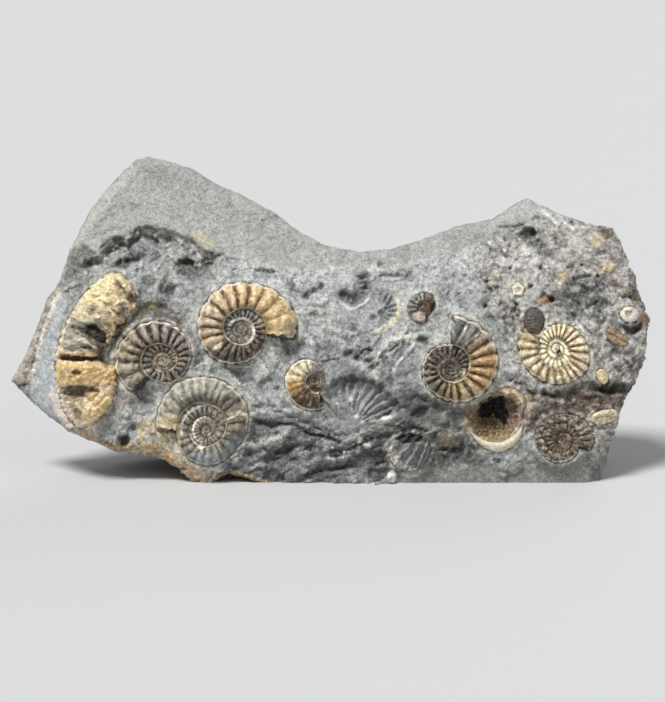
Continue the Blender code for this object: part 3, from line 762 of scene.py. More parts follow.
@dataclass(frozen=True)
class CoiledShell:
    """A ribbed ammonite lying flat in the face, seen from the front.

    Attributes:
        node: The solid that it stands for.
        slot: The record's slot of its finish.
        centre: Its middle, in photo pixels.
        mouth: Angle of its mouth, in degrees anticlockwise from the right.
        way: 1 where it grows anticlockwise, -1 where it grows clockwise.
        lift: Height of its middle plane over the rock's broad form, in metres.
        radii: Radius of its venter in pixels, each 30 degrees farther back from the mouth.
        grooves: The grooves between its ribs, in degrees back from the mouth.
        hues: Colours of rib and groove at degrees back from the mouth; the much darker groove colours are
            painted shade in the grooves.
        seam_hue: Colour of the calcite thread along the seam and the outline.
        seam_strength: How clear that thread is on the outline and on the seam.
        rib: Height of a rib as a share of the whorl's width.
        narrow: How narrow the grooves are: below 1 for narrow grooves, above 1 for narrow ribs.
        sweep: How far a rib trails from seam to venter, in degrees.
        bow: How far the middle of a rib leads its ends, in degrees.
        flank: Height of a whorl's crest as a share of its width.
        tilt: Rise of its plane to the right and upwards.
        jag: How far its broken mouth runs in and out, in degrees.
        bald: Degrees back from the mouth within which no ribs show, and the share of rib strength left there.
        smooth_eye: Radius in pixels within which ribs fade out.
        step: Degrees between columns of the outer whorl.
        forms: Chips and lumps added to it.
        strokes: Stains painted on it.
        collar: How far the rock stands over its middle plane beside it, in millimetres.
        apron: How far out the rock is drawn to that height, in pixels.
    """

    node: str
    slot: Slot
    centre: Pixels
    mouth: float
    way: int
    lift: float
    radii: tuple[float, ...]
    grooves: tuple[float, ...]
    hues: tuple[tuple[float, Shade, Shade], ...]
    seam_hue: Shade = (240, 232, 212)
    seam_strength: Pixels = (0.9, 0.9)
    rib: float = 0.19
    narrow: float = 0.9
    sweep: float = -2.0
    bow: float = 1.5
    flank: float = 0.5
    tilt: Pixels = (0.0, 0.0)
    jag: float = 5.0
    bald: Pixels = (0.0, 1.0)
    smooth_eye: float = 12.0
    step: float = 1.4
    forms: tuple[Form, ...] = ()
    strokes: tuple[Stroke, ...] = ()
    collar: float = 0.35
    apron: float = 13.0

    OVERLAP = 0.97
    SEAM_HEIGHT = 0.13
    ROWS = (0.0, 0.015, 0.035, 0.06, 0.1, 0.15, 0.21, 0.28, 0.36, 0.45, 0.54, 0.63, 0.72, 0.8,
            0.87, 0.92, 0.955, 0.98, 1.0)
    SKIRT = (0.0006, 0.0022)
    RADII_STEP, TURN_STEPS = 30.0, 12.0
    EYE_TURN = 420.0
    EYE_OPENS = (330.0, 380.0)
    INNER_RIBS = 17.0
    FINE_TO, MIDDLE_TO = -470.0, -800.0

    @property
    def first(self) -> float:
        """How far back from the mouth the strip begins, in degrees."""
        return -self.RADII_STEP * (len(self.radii) - 1) - self.EYE_TURN

    def outer(self, back: np.ndarray) -> np.ndarray:
        """Radius of the venter in metres at degrees back from the mouth, halving each turn past the table."""
        place = -back / self.RADII_STEP
        last = len(self.radii) - 1
        read = np.interp(place, np.arange(last + 1), self.radii)
        return read * FACE.pixel * 0.5 ** (np.maximum(0.0, place - last) / self.TURN_STEPS)

    def seam(self, back: np.ndarray) -> np.ndarray:
        """Radius of the line where a whorl meets the one inside it, closing to nothing in the first turn."""
        open_eye = smooth(self.first + self.EYE_OPENS[0], self.first + self.EYE_OPENS[1], back)
        return self.OVERLAP * self.outer(back - 360.0) * open_eye

    def phase(self, back: np.ndarray) -> np.ndarray:
        """Number of grooves passed going back from the mouth."""
        marks = [0.0, *self.grooves]
        while marks[-1] < 60.0 - self.first:
            marks.append(marks[-1] + self.INNER_RIBS)
        return np.interp(-back, marks, np.maximum(np.arange(len(marks)), 0.5))

    def ridge(self, back: np.ndarray, share: np.ndarray) -> np.ndarray:
        """Height of the ribs from 0 in a groove to 1 on a rib."""
        bent = back - self.sweep * (share - 0.5) - self.bow * 4.0 * share * (1.0 - share)
        return np.abs(np.sin(math.pi * self.phase(bent))) ** self.narrow

    def level(self, x: np.ndarray, y: np.ndarray) -> np.ndarray:
        """Height of the shell's middle plane over the face plane, under each place."""
        dx, dy = (x - self.centre[0]) * FACE.pixel, (self.centre[1] - y) * FACE.pixel
        middle = base_form(np.array(self.centre[0]), np.array(self.centre[1]))
        return middle + self.lift + self.tilt[0] * dx + self.tilt[1] * dy

    def beyond(self, x: np.ndarray, y: np.ndarray) -> np.ndarray:
        """Distance of each place outside the shell's outline in pixels, below 0 inside it."""
        dx, dy = (x - self.centre[0]) * FACE.pixel, (self.centre[1] - y) * FACE.pixel
        back = -np.mod(self.way * (self.mouth - np.degrees(np.arctan2(dy, dx))), 360.0)
        return (np.hypot(dx, dy) - self.outer(back)) / FACE.pixel

    def columns(self) -> np.ndarray:
        """Degrees back from the mouth of each column: close on the outer whorls and wider inside."""
        runs = ((self.FINE_TO, self.step), (self.MIDDLE_TO, self.step * 1.6), (self.first, self.step * 3.0))
        backs, start = [0.0], 0.0
        for end, step in runs:
            count = max(1, int(round((start - end) / step)))
            backs += np.linspace(start, end, count + 1)[1:].tolist()
            start = end
        return np.array(backs)

    def height(self, back: np.ndarray, share: np.ndarray, ridge: np.ndarray) -> np.ndarray:
        """Height of the flank over the middle plane, in metres."""
        inner, outer = self.seam(back), self.outer(back)
        width = outer - inner
        last = smooth(-366.0, -354.0, back)
        low, high = self.SEAM_HEIGHT * inner, (1.0 - last) * 0.95 * self.SEAM_HEIGHT * self.OVERLAP * outer
        across = np.clip(share, 0.0, 1.0) ** 0.88
        arch = (1.0 - np.abs(2.0 * across - 1.0) ** 2.3) ** (1.0 / 2.3)
        ends = 1.0 - 0.35 * smooth(0.88, 1.0, share)
        strength = smooth(0.0, 0.14, share) * ends * self.rib_strength(back)
        swell = self.flank * arch + self.rib * (ridge - 0.75) * strength
        return low + (high - low) * share + width * swell

    def rib_strength(self, back: np.ndarray) -> np.ndarray:
        """How strong the ribs are: faint on a bald mouth and in the eye."""
        young = smooth(0.85 * self.smooth_eye, 1.4 * self.smooth_eye, self.outer(back) / FACE.pixel)
        if not self.bald[0]:
            return young
        ribbed = smooth(-0.7 * self.bald[0], -1.2 * self.bald[0], back)
        return young * (self.bald[1] + (1.0 - self.bald[1]) * ribbed)

    def build(self, material: bpy.types.Material) -> bpy.types.Object:
        """Builds the shell.

        Args:
            material: Its finish.

        Returns:
            The piece.
        """
        backs = self.columns()
        rows = (0.0,) + self.ROWS + (1.0, 1.0)
        drops = (self.SKIRT[1],) + (0.0,) * len(self.ROWS) + self.SKIRT
        bm, column, row = strip_grid(len(backs), len(rows))
        back, share, drop = backs[column], np.array(rows)[row], np.array(drops)[row]
        back = np.minimum(back, self.mouth_edge(share) * (back > -30.0))
        ridge = self.ridge(back, share)
        inner, outer = self.seam(back), self.outer(back)
        radius = inner + (outer - inner) * (share + self.rib * 0.4 * (ridge - 0.8) * smooth(0.8, 1.0, share))
        angle = np.radians(self.mouth + self.way * back)
        dx, dy = radius * np.cos(angle), radius * np.sin(angle)
        x, y = self.centre[0] + dx / FACE.pixel, self.centre[1] - dy / FACE.pixel
        bare = self.height(back, share, ridge) + carve(self.forms, x, y)
        bare = bare + mm(0.05) * fractal(x, y, 4.0, 3.0, 3, 0.6) + mm(0.06) * fractal(x, y, 9.0, 9.0, 2)
        level = self.level(x, y)
        w = np.where(drop > 0.0, np.minimum(level + bare, level) - drop, level + bare)
        w = np.where(column == 0, level - self.SKIRT[1], w)
        move_all(bm, FACE.world(x, y, w))
        paint(bm, self.tint(x, y, back, share, ridge))
        bmesh.ops.recalc_face_normals(bm, faces=bm.faces)
        turn_to_viewer(bm)
        return as_piece(bm, self.node + "_shell", material, (self.node,))

    def mouth_edge(self, share: np.ndarray) -> np.ndarray:
        """Where the broken mouth lies for each share across, in degrees back."""
        return -self.jag * (1.0 + fractal(share * 40.0, share * 0.0, 0.1 * self.mouth, 9.0, 3))

    def tint(self, x: np.ndarray, y: np.ndarray, back: np.ndarray, share: np.ndarray,
             ridge: np.ndarray) -> np.ndarray:
        """Colour of each vertex, in linear light."""
        stops, tops, lows = zip(*self.hues)
        wander = -back + 5.0 * fractal(x, y, 2.0, 7.0, 2)
        top, low = (np.stack([np.interp(wander, stops, part) for part in zip(*(shade(*hue) for hue in hues))],
                             -1)
                    for hues in (tops, lows))
        # Ribs take the rib colour and grooves the darker groove colour: painted shade in the grooves, broken
        # up by random wear.
        surface_tone = 0.75 + (ridge - 0.75) * self.rib_strength(back) + 0.42 * fractal(x, y, 5.0, 4.0, 4, 0.7)
        colour = blend(low, top, smooth(0.3, 0.95, surface_tone))
        # Painted shade in the crease along the inner seam.
        colour = colour * (1.0 - 0.6 * np.exp(-(share / 0.13) ** 2))[..., None]
        colour = blend(colour, shade(128, 100, 66), 0.35 * np.exp(-((share - 0.14) / 0.1) ** 2))
        colour = colour * (1.0 + 0.42 * fractal(x, y, 8.0, 5.0, 5, 0.7))[..., None]
        colour = colour * (1.0 - 0.32 * smooth(0.15, 0.5, fractal(x, y, 4.9, 3.4, 3)))[..., None]
        colour = blend(colour, shade(206, 196, 172), 0.3 * smooth(0.15, 0.5, fractal(x, y, 4.4, 2.8, 3)))
        thread = 0.95 + 0.9 * fractal(x, y, 3.0, 9.0, 3)
        strength = np.interp(back, (-800.0, -720.0, -400.0, -340.0),
                             (0.35 * self.seam_strength[1], self.seam_strength[1], self.seam_strength[1],
                              self.seam_strength[0]))
        rim = smooth(0.9, 0.95, share) * strength
        inward = np.interp(back - 360.0, (-800.0, -720.0), (0.35, 1.0)) * self.seam_strength[1]
        rim = np.maximum(rim, smooth(0.055, 0.02, share) * inward)
        colour = blend(colour, shade(*self.seam_hue), np.clip(rim * thread, 0.0, 1.0))
        return lay(colour, self.strokes, x + 0.7 * fractal(x, y, 65.0, 5.0, 3),
                   y + 0.7 * fractal(x, y, 67.0, 5.0, 3))


def strip_grid(columns: int, rows: int) -> tuple[bmesh.types.BMesh, np.ndarray, np.ndarray]:
    """A flat grid, with the column and the row of each of its vertices.

    Args:
        columns: Vertices along it.
        rows: Vertices across it.

    Returns:
        The mesh, and arrays of the column and the row of each vertex.
    """
    bm = bmesh.new()
    bmesh.ops.create_grid(bm, x_segments=columns - 1, y_segments=rows - 1, size=0.5)
    grid = np.array([vert.co for vert in bm.verts])
    column = np.rint((grid[:, 0] + 0.5) * (columns - 1)).astype(int)
    row = np.rint((grid[:, 1] + 0.5) * (rows - 1)).astype(int)
    return bm, column, row


def turn_to_viewer(bm: bmesh.types.BMesh) -> None:
    """Turns the faces of an open sheet on the front so that they look out of the face."""
    if sum(face.normal.dot(FACE.outward) * face.calc_area() for face in bm.faces) < 0.0:
        bmesh.ops.reverse_faces(bm, faces=bm.faces)


# The centres, mouths, radii and grooves were worked out by another program from points read by eye off the
# photo; some were evened out by hand and the innermost added by hand. The hues of the left, upper, lower,
# cream and corner shells were typed in and then scaled by another program.
# In each shell's hues the second colour, for the grooves, is darkened as painted shade in the grooves.
SHELLS = (
    CoiledShell(
        "ammonite_left", Slot.DARK, (163.0, 360.9), -130, 1, mm(1.0),
        (43.0, 47.8, 48.0, 44.0, 41.9, 37.8, 33.9, 29.9, 25.4, 24.0, 23.8, 21.9, 21.3, 22.3, 22.0, 20.8, 18.3,
         15.9, 15.1, 14.8, 13.6, 12.2, 11.3, 10.9, 11.2, 11.3, 11.3, 10.6, 9.9, 9.3, 8.7, 8.1, 7.6),
        (6, 29, 50, 65, 81, 98, 117, 136, 157, 171, 187, 205, 218, 233, 251, 269, 290, 311, 330, 347,
         363, 386, 405, 427, 447, 466, 485, 508, 530, 552),
        ((0, (144, 135, 124), (39, 31, 26)), (60, (156, 143, 127), (41, 31, 24)),
         (140, (149, 140, 132), (44, 36, 32)), (260, (126, 119, 111), (35, 29, 25)),
         (380, (127, 125, 120), (40, 34, 32)), (520, (113, 106, 95), (53, 45, 39)),
         (800, (154, 142, 123), (77, 67, 56))),
        strokes=(
            Stroke(Patch(((116, 352), (120, 336), (134, 318), (144, 322), (132, 336), (128, 354)), 4.0),
                   (170, 152, 124), 0.65, 0.6, 4.0),
            Stroke(Patch(((118, 356), (130, 352), (140, 372), (132, 388), (120, 376)), 4.0), (196, 184, 160),
                   0.5, 0.65, 4.0),
        )),
    CoiledShell(
        "ammonite_upper", Slot.GOLDEN, (241.2, 329.8), -12, -1, mm(0.9),
        (55.9, 56.1, 51.6, 47.5, 47.5, 45.2, 44.3, 42.1, 39.7, 34.8, 31.3, 28.1, 26.6, 25.1, 23.4, 22.5, 20.3,
         19.3, 18.4, 16.7, 15.6, 14.9, 14.9, 14.3, 13.4, 12.2, 10.7, 9.9, 9.6, 9.6, 9.4, 9.0, 8.4),
        (13, 33, 52, 73, 92, 111, 130, 151, 173, 190, 206, 224, 240, 256, 272, 285, 298, 315, 331,
         345, 361, 375, 389, 406, 421, 436, 450, 464, 477, 493, 509, 525, 543, 562),
        ((0, (225, 210, 166), (155, 128, 86)), (60, (225, 200, 151), (143, 107, 65)),
         (110, (230, 200, 159), (106, 75, 48)), (150, (216, 192, 159), (106, 77, 52)),
         (180, (196, 178, 158), (106, 77, 50)), (215, (194, 171, 136), (112, 83, 47)),
         (228, (105, 94, 85), (40, 31, 28)), (330, (88, 79, 72), (34, 27, 23)),
         (372, (89, 81, 76), (30, 25, 23)), (385, (124, 122, 120), (32, 29, 29)),
         (560, (122, 120, 116), (43, 39, 37)), (800, (127, 122, 113), (82, 75, 68))),
        bow=2.5, bald=(45.0, 0.35), narrow=0.6, smooth_eye=14.0,
        forms=(
            Carve(Patch(((269, 338), (299, 332), (296, 352), (272, 350)), 3.0), -0.5),
            Carve(Oval((216, 344), (6, 5), 20), -0.4),
        ),
        strokes=(
            Stroke(Patch(((268, 288), (300, 320), (298, 350), (268, 345), (258, 318)), 6.0), (195, 166, 113),
                   0.6, 0.6, 6.0),
            Stroke(Patch(((283, 325), (297, 322), (297, 344), (284, 344)), 3.0), (158, 151, 131), 0.75, 0.3),
            Stroke(Patch(((268, 336), (286, 339), (292, 348), (270, 347)), 3.0), (240, 235, 222), 0.8, 0.4),
            Stroke(Patch(((209, 338), (223, 337), (221, 349), (210, 349)), 3.0), (225, 209, 182), 0.75, 0.3),
            Stroke(Line(ring((241, 331.5), 13.0, 150.0, -70.0)), (245, 241, 227), 0.9, 0.2),
        )),
    CoiledShell(
        "ammonite_lower", Slot.GREY, (206.5, 430.0), -177, 1, mm(0.2),
        (50.0, 52.5, 55.6, 53.4, 50.3, 47.4, 40.6, 35.6, 34.8, 35.7, 34.4, 32.1, 30.2, 30.3, 29.7, 27.1, 24.4,
         22.8, 19.6, 17.1, 16.0, 16.7, 17.5, 17.6, 17.2, 16.7, 16.0, 15.1, 13.5, 11.2, 9.1, 8.1, 7.7),
        (19, 32, 47, 65, 75, 85, 95, 106, 116, 128, 140, 157, 171, 190, 209, 228, 246, 263, 279, 294,
         310, 328, 343, 364, 381, 402, 413, 428, 443, 456, 471, 491, 509, 528, 551, 577),
        ((0, (164, 149, 124), (96, 81, 65)), (50, (165, 165, 152), (122, 120, 107)),
         (110, (167, 167, 154), (126, 123, 111)), (170, (145, 136, 115), (87, 75, 58)),
         (240, (154, 154, 152), (79, 68, 60)), (330, (141, 136, 128), (58, 50, 44)),
         (430, (154, 150, 141), (62, 54, 48)), (600, (138, 130, 126), (77, 68, 64)),
         (900, (164, 156, 144), (110, 101, 91))),
        tilt=(-0.03, 0.10), sweep=-4.0, rib=0.12, narrow=0.6, seam_strength=(0.6, 0.8),
        forms=(
            Carve(Patch(((222, 396), (240, 398), (244, 414), (226, 412)), 3.0), -1.3),
            Carve(Line(((227, 418), (240, 413), (249, 416)), 4.0), 0.7),
            Carve(Patch(((222, 440), (246, 424), (250, 452), (226, 470)), 5.0), -1.0),
            Carve(Patch(((150, 424), (176, 420), (178, 452), (160, 456)), 5.0), -0.6),
        ),
        strokes=(
            Stroke(Patch(((176, 402), (200, 392), (226, 400), (222, 408), (200, 401), (180, 412)), 3.0),
                   (79, 73, 64), 0.7),
            Stroke(Patch(((222, 396), (240, 398), (244, 414), (226, 412)), 3.0), (92, 86, 77), 0.7),
            Stroke(Line(((226, 420), (240, 412), (249, 417)), 2.4), (245, 237, 212), 0.85),
            Stroke(Patch(((222, 440), (246, 424), (250, 452), (226, 470)), 6.0), (114, 117, 114), 0.8, 0.3),
            Stroke(Patch(((150, 418), (178, 414), (180, 452), (160, 462)), 6.0), (225, 204, 165),
                   0.75, 0.45, 8.0),
            Stroke(Patch(((192, 452), (220, 452), (216, 470), (196, 468)), 4.0), (154, 163, 169), 0.6, 0.3),
            Stroke(Line(ring((206.5, 430), 13.4, 80.0, 255.0), 1.3), (240, 236, 218), 0.75, 0.25),
            *(Stroke(Line(ray((206.5, 430), 38.0, 54.0, angle), 1.5), (200, 200, 186), 0.6, 0.35)
              for angle in (56, 68, 80, 93, 104, 116, 128)),
            Stroke(Line(ring((206.5, 430), 25.0, 60.0, 200.0), 1.5), (244, 235, 216), 0.8, 0.4),
            Stroke(Oval((201, 447), (3.4, 2.6)), (245, 245, 228), 0.9, 0.1),
        )),
    CoiledShell(
        "ammonite_centre", Slot.GOLDEN, (451.1, 368.7), 90, 1, mm(1.2),
        (53.1, 52.1, 50.1, 46.5, 41.6, 36.8, 32.7, 30.2, 30.5, 28.6, 27.7, 26.1, 24.1, 23.5, 21.2, 18.0, 16.0,
         14.7, 13.1, 12.9, 12.9, 13.6, 14.0, 13.2, 11.9, 11.2, 9.7, 9.0, 8.4, 7.8, 7.2, 6.7, 6.2),
        (19, 37, 53, 68, 86, 103, 119, 140, 163, 179, 194, 213, 236, 252, 269, 286, 303, 320, 335, 350,
         365, 380, 395, 411, 427, 445, 464),
        ((0, (128, 126, 118), (70, 66, 60)), (42, (126, 124, 118), (50, 44, 40)),
         (56, (206, 190, 160), (96, 70, 46)), (85, (206, 180, 132), (112, 80, 40)),
         (130, (208, 186, 150), (84, 60, 38)), (165, (176, 154, 112), (78, 60, 34)),
         (200, (130, 114, 86), (60, 48, 34)), (235, (112, 102, 94), (40, 32, 28)),
         (330, (96, 90, 84), (34, 28, 26)), (420, (82, 76, 72), (38, 33, 31)),
         (800, (92, 86, 78), (60, 54, 48))),
        sweep=-4.0, bow=0.5, rib=0.22, smooth_eye=15.0,
        strokes=(
            Stroke(Line(((467.5, 324), (462, 335), (456, 344)), 2.0), (226, 220, 206), 0.85),
            Stroke(Line(((479.5, 331.5), (473, 338), (465, 345)), 2.0), (226, 220, 206), 0.85),
            Stroke(Line(ring((451, 368.7), 14.0, 0.0, -80.0)), (216, 200, 164), 0.8, 0.3),
            Stroke(Patch(((470, 340), (500, 350), (500, 385), (480, 400), (470, 370)), 8.0),
                   (166, 124, 66), 0.45, 0.55),
        )),
    CoiledShell(
        "ammonite_cream", Slot.CREAM, (556.3, 349.0), 148, -1, mm(0.9),
        (42.0, 37.5, 36.0, 34.5, 35.0, 36.0, 36.7, 32.5, 28.5, 26.8, 25.0, 22.4, 19.0, 17.4, 17.5, 18.5, 20.8,
         19.3, 15.9, 13.1, 11.5, 10.9, 11.3, 10.8, 9.7, 9.0, 9.2, 10.0, 10.0, 9.4, 8.8, 7.8, 6.6),
        (17, 32, 48, 67, 85, 104, 121, 134, 147, 159, 171, 185, 205, 220, 241, 257, 275, 288, 301,
         314, 328, 342, 356, 371, 392, 413, 434, 455, 471, 488, 504, 522, 539, 557),
        ((0, (237, 222, 189), (161, 138, 99)), (100, (243, 229, 196), (147, 121, 84)),
         (180, (245, 233, 200), (150, 121, 82)), (250, (245, 229, 192), (136, 106, 65)),
         (300, (243, 229, 194), (133, 112, 79)), (420, (245, 242, 213), (189, 168, 127)),
         (900, (245, 237, 206), (183, 172, 137))),
        seam_hue=(245, 245, 221), seam_strength=(0.5, 0.5), bow=0.0, rib=0.2,
        forms=(Carve(Oval((559, 353.5), (2.2, 3.6)), -0.9), Carve(Oval((555, 374), (10, 4)), -0.5)),
        strokes=(
            Stroke(Oval((559, 353.5), (2.4, 3.8)), (75, 77, 63), 0.9, 0.1),
            Stroke(Oval((555, 373), (9, 4)), (160, 136, 99), 0.7, 0.4),
            Stroke(Patch(((520, 326), (532, 330), (530, 350), (520, 346)), 4.0), (210, 183, 132), 0.5, 0.5),
        )),
    CoiledShell(
        "ammonite_small_gold", Slot.GOLDEN, (313.7, 380.6), -65, 1, mm(0.2),
        (29.1, 29.8, 30.1, 28.8, 28.8, 26.5, 23.4, 18.8, 13.8, 12.6, 12.8, 13.6, 13.5, 12.9, 11.1,
         8.9, 7.7, 7.0, 6.7, 6.6, 7.0, 7.1, 7.3, 7.2, 6.8, 6.3, 5.8, 5.3, 4.9, 4.5, 4.1, 3.8, 3.5),
        (9, 25, 39, 54, 72, 91, 109, 135, 160, 183, 205, 227, 250),
        ((0, (92, 78, 62), (44, 34, 24)), (30, (70, 56, 42), (34, 24, 16)), (70, (96, 70, 36), (52, 34, 18)),
         (100, (190, 150, 84), (120, 86, 40)), (125, (222, 208, 172), (176, 152, 104)),
         (190, (214, 206, 180), (156, 146, 120)), (215, (120, 112, 110), (80, 72, 70)),
         (330, (110, 98, 90), (60, 50, 44)), (500, (92, 80, 66), (40, 32, 26))),
        rib=0.06, step=2.0, smooth_eye=6.0, flank=0.42,
        forms=(Carve(Oval((312, 392), (7, 4), 20), -0.9), Carve(Oval((320, 378), (7, 6)), -0.5)),
        strokes=(
            Stroke(Oval((313, 391), (8, 4), 20), (58, 46, 38), 0.8, 0.2),
            Stroke(Line(((305, 384), (312, 392), (322, 394)), 1.6), (206, 190, 160), 0.8, 0.3),
            Stroke(Oval((317, 371), (7, 7)), (132, 124, 120), 0.7, 0.4),
            Stroke(Line(((287, 365), (293, 358), (304, 354)), 4.0), (228, 220, 200), 0.7, 0.5),
        )),
    CoiledShell(
        "ammonite_corner", Slot.DARK, (562.7, 439.7), -24, -1, mm(0.1),
        (29.0, 32.0, 29.0, 26.5, 25.6, 26.2, 28.0, 27.4, 25.0, 24.0, 22.2, 20.5, 18.1, 16.2, 16.4, 17.0, 17.1,
         17.4, 18.0, 17.8, 16.5, 14.4, 12.8, 11.7, 11.0, 9.9, 9.1, 8.4, 7.8, 7.2, 6.6, 6.1, 5.6),
        (10, 24, 38, 52, 71, 97, 120, 138, 158, 174, 190, 204, 220, 245, 262, 281, 294, 308, 327,
         347, 365, 384),
        ((0, (100, 91, 85), (34, 29, 26)), (40, (157, 148, 138), (36, 29, 27)),
         (90, (91, 81, 70), (39, 33, 28)), (150, (80, 66, 58), (23, 19, 15)),
         (200, (113, 106, 96), (31, 25, 22)), (270, (116, 104, 94), (39, 31, 28)),
         (400, (123, 110, 87), (33, 27, 20)), (800, (102, 89, 70), (37, 29, 22))),
        seam_strength=(0.4, 0.7), step=2.0,
        strokes=(
            Stroke(Oval((562, 440), (30, 27)), (183, 169, 149), 0.65, 0.76, 4.0),
            Stroke(Oval((562, 440), (30, 27)), (34, 29, 26), 0.7, 0.72, 5.0),
            Stroke(Oval((562, 440), (16, 15)), (98, 81, 67), 0.5, 0.5, 4.0),
            Stroke(Line(((541.7, 453), (545, 457.6), (550, 461), (555.5, 462.7), (562.7, 462),
                         (569.8, 459.6), (576, 455)),
                        2.2), (232, 224, 207), 0.9, 0.2),
        )),
    CoiledShell(
        "ammonite_broken", Slot.DARK, (424.2, 307.3), -77, 1, mm(0.4),
        (14.3, 16.6, 17.1, 16.6, 15.3, 14.3, 14.4, 14.4, 13.2, 10.9, 9.6, 8.8, 8.5, 7.9, 7.1, 6.7,
         6.5, 6.6, 6.7, 6.7, 6.4, 6.0, 5.6, 5.2, 4.8, 4.5, 4.2, 3.9, 3.6, 3.3, 3.1, 2.9, 2.7),
        (80, 103, 125, 148, 172, 195, 215, 240),
        ((0, (206, 196, 184), (150, 140, 130)), (60, (186, 176, 168), (130, 120, 112)),
         (85, (150, 150, 138), (58, 56, 46)), (180, (150, 150, 140), (70, 68, 58)),
         (260, (120, 104, 92), (56, 42, 34)), (700, (80, 66, 56), (40, 32, 26))),
        seam_strength=(0.2, 0.2), bow=0.0, step=2.6, smooth_eye=5.0, flank=0.42,
        forms=(
            Carve(Line(((424, 314), (429, 305), (434, 296)), 6.0), 1.0),
            Carve(Oval((437, 308), (6, 7)), -1.6),
            Carve(Oval((420, 317), (7, 5)), 0.5),
        ),
        strokes=(
            Stroke(Oval((437, 308), (7, 8)), (66, 60, 54), 0.9, 0.2),
            Stroke(Line(((423, 316), (429, 305), (434, 295)), 6.0), (92, 66, 48), 0.9, 0.2),
            Stroke(Line(((434, 300), (437, 294), (441, 292)), 3.0), (208, 192, 160), 0.8, 0.3),
            Stroke(Oval((419.5, 317), (7.5, 5)), (196, 180, 166), 0.85, 0.2),
            # Dark line under the pale oval: painted shadow beneath it.
            Stroke(Line(((412, 321), (420, 323), (428, 320)), 2.0), (60, 50, 42), 0.8, 0.2),
        )),
)


def base_form(x: np.ndarray, y: np.ndarray) -> np.ndarray:
    """Broad shape of the front, in metres: proud in the middle band, falling back to the edges.

    Args:
        x: Photo x of each place.
        y: Photo y of each place.

    Returns:
        The rock's broad height over the face plane.
    """
    w = mm(2.2) * np.exp(-((y - 372.0) / 62.0) ** 2)
    w = w - mm(6.5) * smooth(300, 175, y)
    w = w - mm(3.0) * smooth(425, 490, y)
    w = w - mm(11.0) * smooth(92, 14, x) ** 1.4
    return w - mm(6.5) * smooth(575, 652, x)


# Other pieces that stand out of the rock

FAR_AWAY = 99.0
SEARCH_REACH = 20.0
WELD = 1e-7


@dataclass(frozen=True)
class Raised:
    """What every smooth piece set in the rock shares.

    Attributes:
        name: The piece's name.
        slot: The record's slot of its finish.
        nodes: The solids that it stands for.
        hue: Its colour.
        lift: Height of its foot over the rock's broad form, in millimetres.
        rise: Height of its crest over its foot, in millimetres.
        square: How flat its top is: 2 for a round dome, more for a flat one.
        rough: Height of its grain, in millimetres.
        mottle: How far its colour varies.
        forms: Ribs, chips and lumps added to it.
        strokes: Stains painted on it.
        collar: How far the rock stands over its foot beside it, in millimetres.
        apron: How far out the rock is drawn to that height, in pixels.
    """

    name: str
    slot: Slot
    nodes: tuple[str, ...]
    hue: Shade
    lift: float
    rise: float
    square: float = 2.2
    rough: float = 0.12
    mottle: float = 0.2
    forms: tuple[Form, ...] = ()
    strokes: tuple[Stroke, ...] = ()
    collar: float = 0.2
    apron: float = 8.0

    def level(self, x: np.ndarray, y: np.ndarray) -> np.ndarray:
        """Height of its foot over the face plane, under each place."""
        return base_form(x, y) + mm(self.lift)

    @staticmethod
    def outside(points: tuple[Pixels, ...], x: np.ndarray, y: np.ndarray) -> np.ndarray:
        """Distance outside a polygon in pixels, below 0 inside it and one large number far away."""
        result = np.full(x.shape, FAR_AWAY)
        near = near_mark(Patch(points, SEARCH_REACH), x, y)
        if near.any():
            result[near] = -inside_distance(x[near], y[near], points)
        return result

    def finish_mesh(self, bm: bmesh.types.BMesh, x: np.ndarray, y: np.ndarray, arch: np.ndarray,
                    drop: np.ndarray, material: bpy.types.Material) -> bpy.types.Object:
        """Places and paints its mesh and makes it a piece.

        Args:
            bm: A flat grid.
            x: Photo x of each vertex.
            y: Photo y of each vertex.
            arch: Share of the crest's height at each vertex.
            drop: How far each vertex is sunk into the rock, in metres.
            material: Its finish.

        Returns:
            The piece.
        """
        wx, wy = x + 1.3 * fractal(x, y, 61.0, 6.0, 4, 0.6), y + 1.3 * fractal(x, y, 63.0, 6.0, 4, 0.6)
        bare = mm(self.rise) * arch + carve(self.forms, wx, wy) * smooth(0.0, 0.35, arch)
        bare = bare + mm(self.rough) * (fractal(x, y, 3.3, 4.0, 3, 0.6) + 0.8 * fractal(x, y, 6.3, 11.0, 2))
        w = self.level(x, y) + np.where(drop > 0.0, -drop, bare)
        move_all(bm, FACE.world(x, y, w))
        colour = np.tile(np.array(shade(*self.hue)), (x.size, 1))
        colour = colour * (1.0 + self.mottle * fractal(x, y, 8.8, 7.0, 4, 0.6))[..., None]
        # Painted shade: darker towards its edge, where it falls away to the rock.
        colour = colour * (0.62 + 0.38 * smooth(0.0, 0.5, arch))[..., None]
        paint(bm, lay(colour, self.strokes, wx, wy))
        bmesh.ops.remove_doubles(bm, verts=bm.verts, dist=WELD)
        bmesh.ops.recalc_face_normals(bm, faces=bm.faces)
        turn_to_viewer(bm)
        return as_piece(bm, self.name, material, self.nodes)


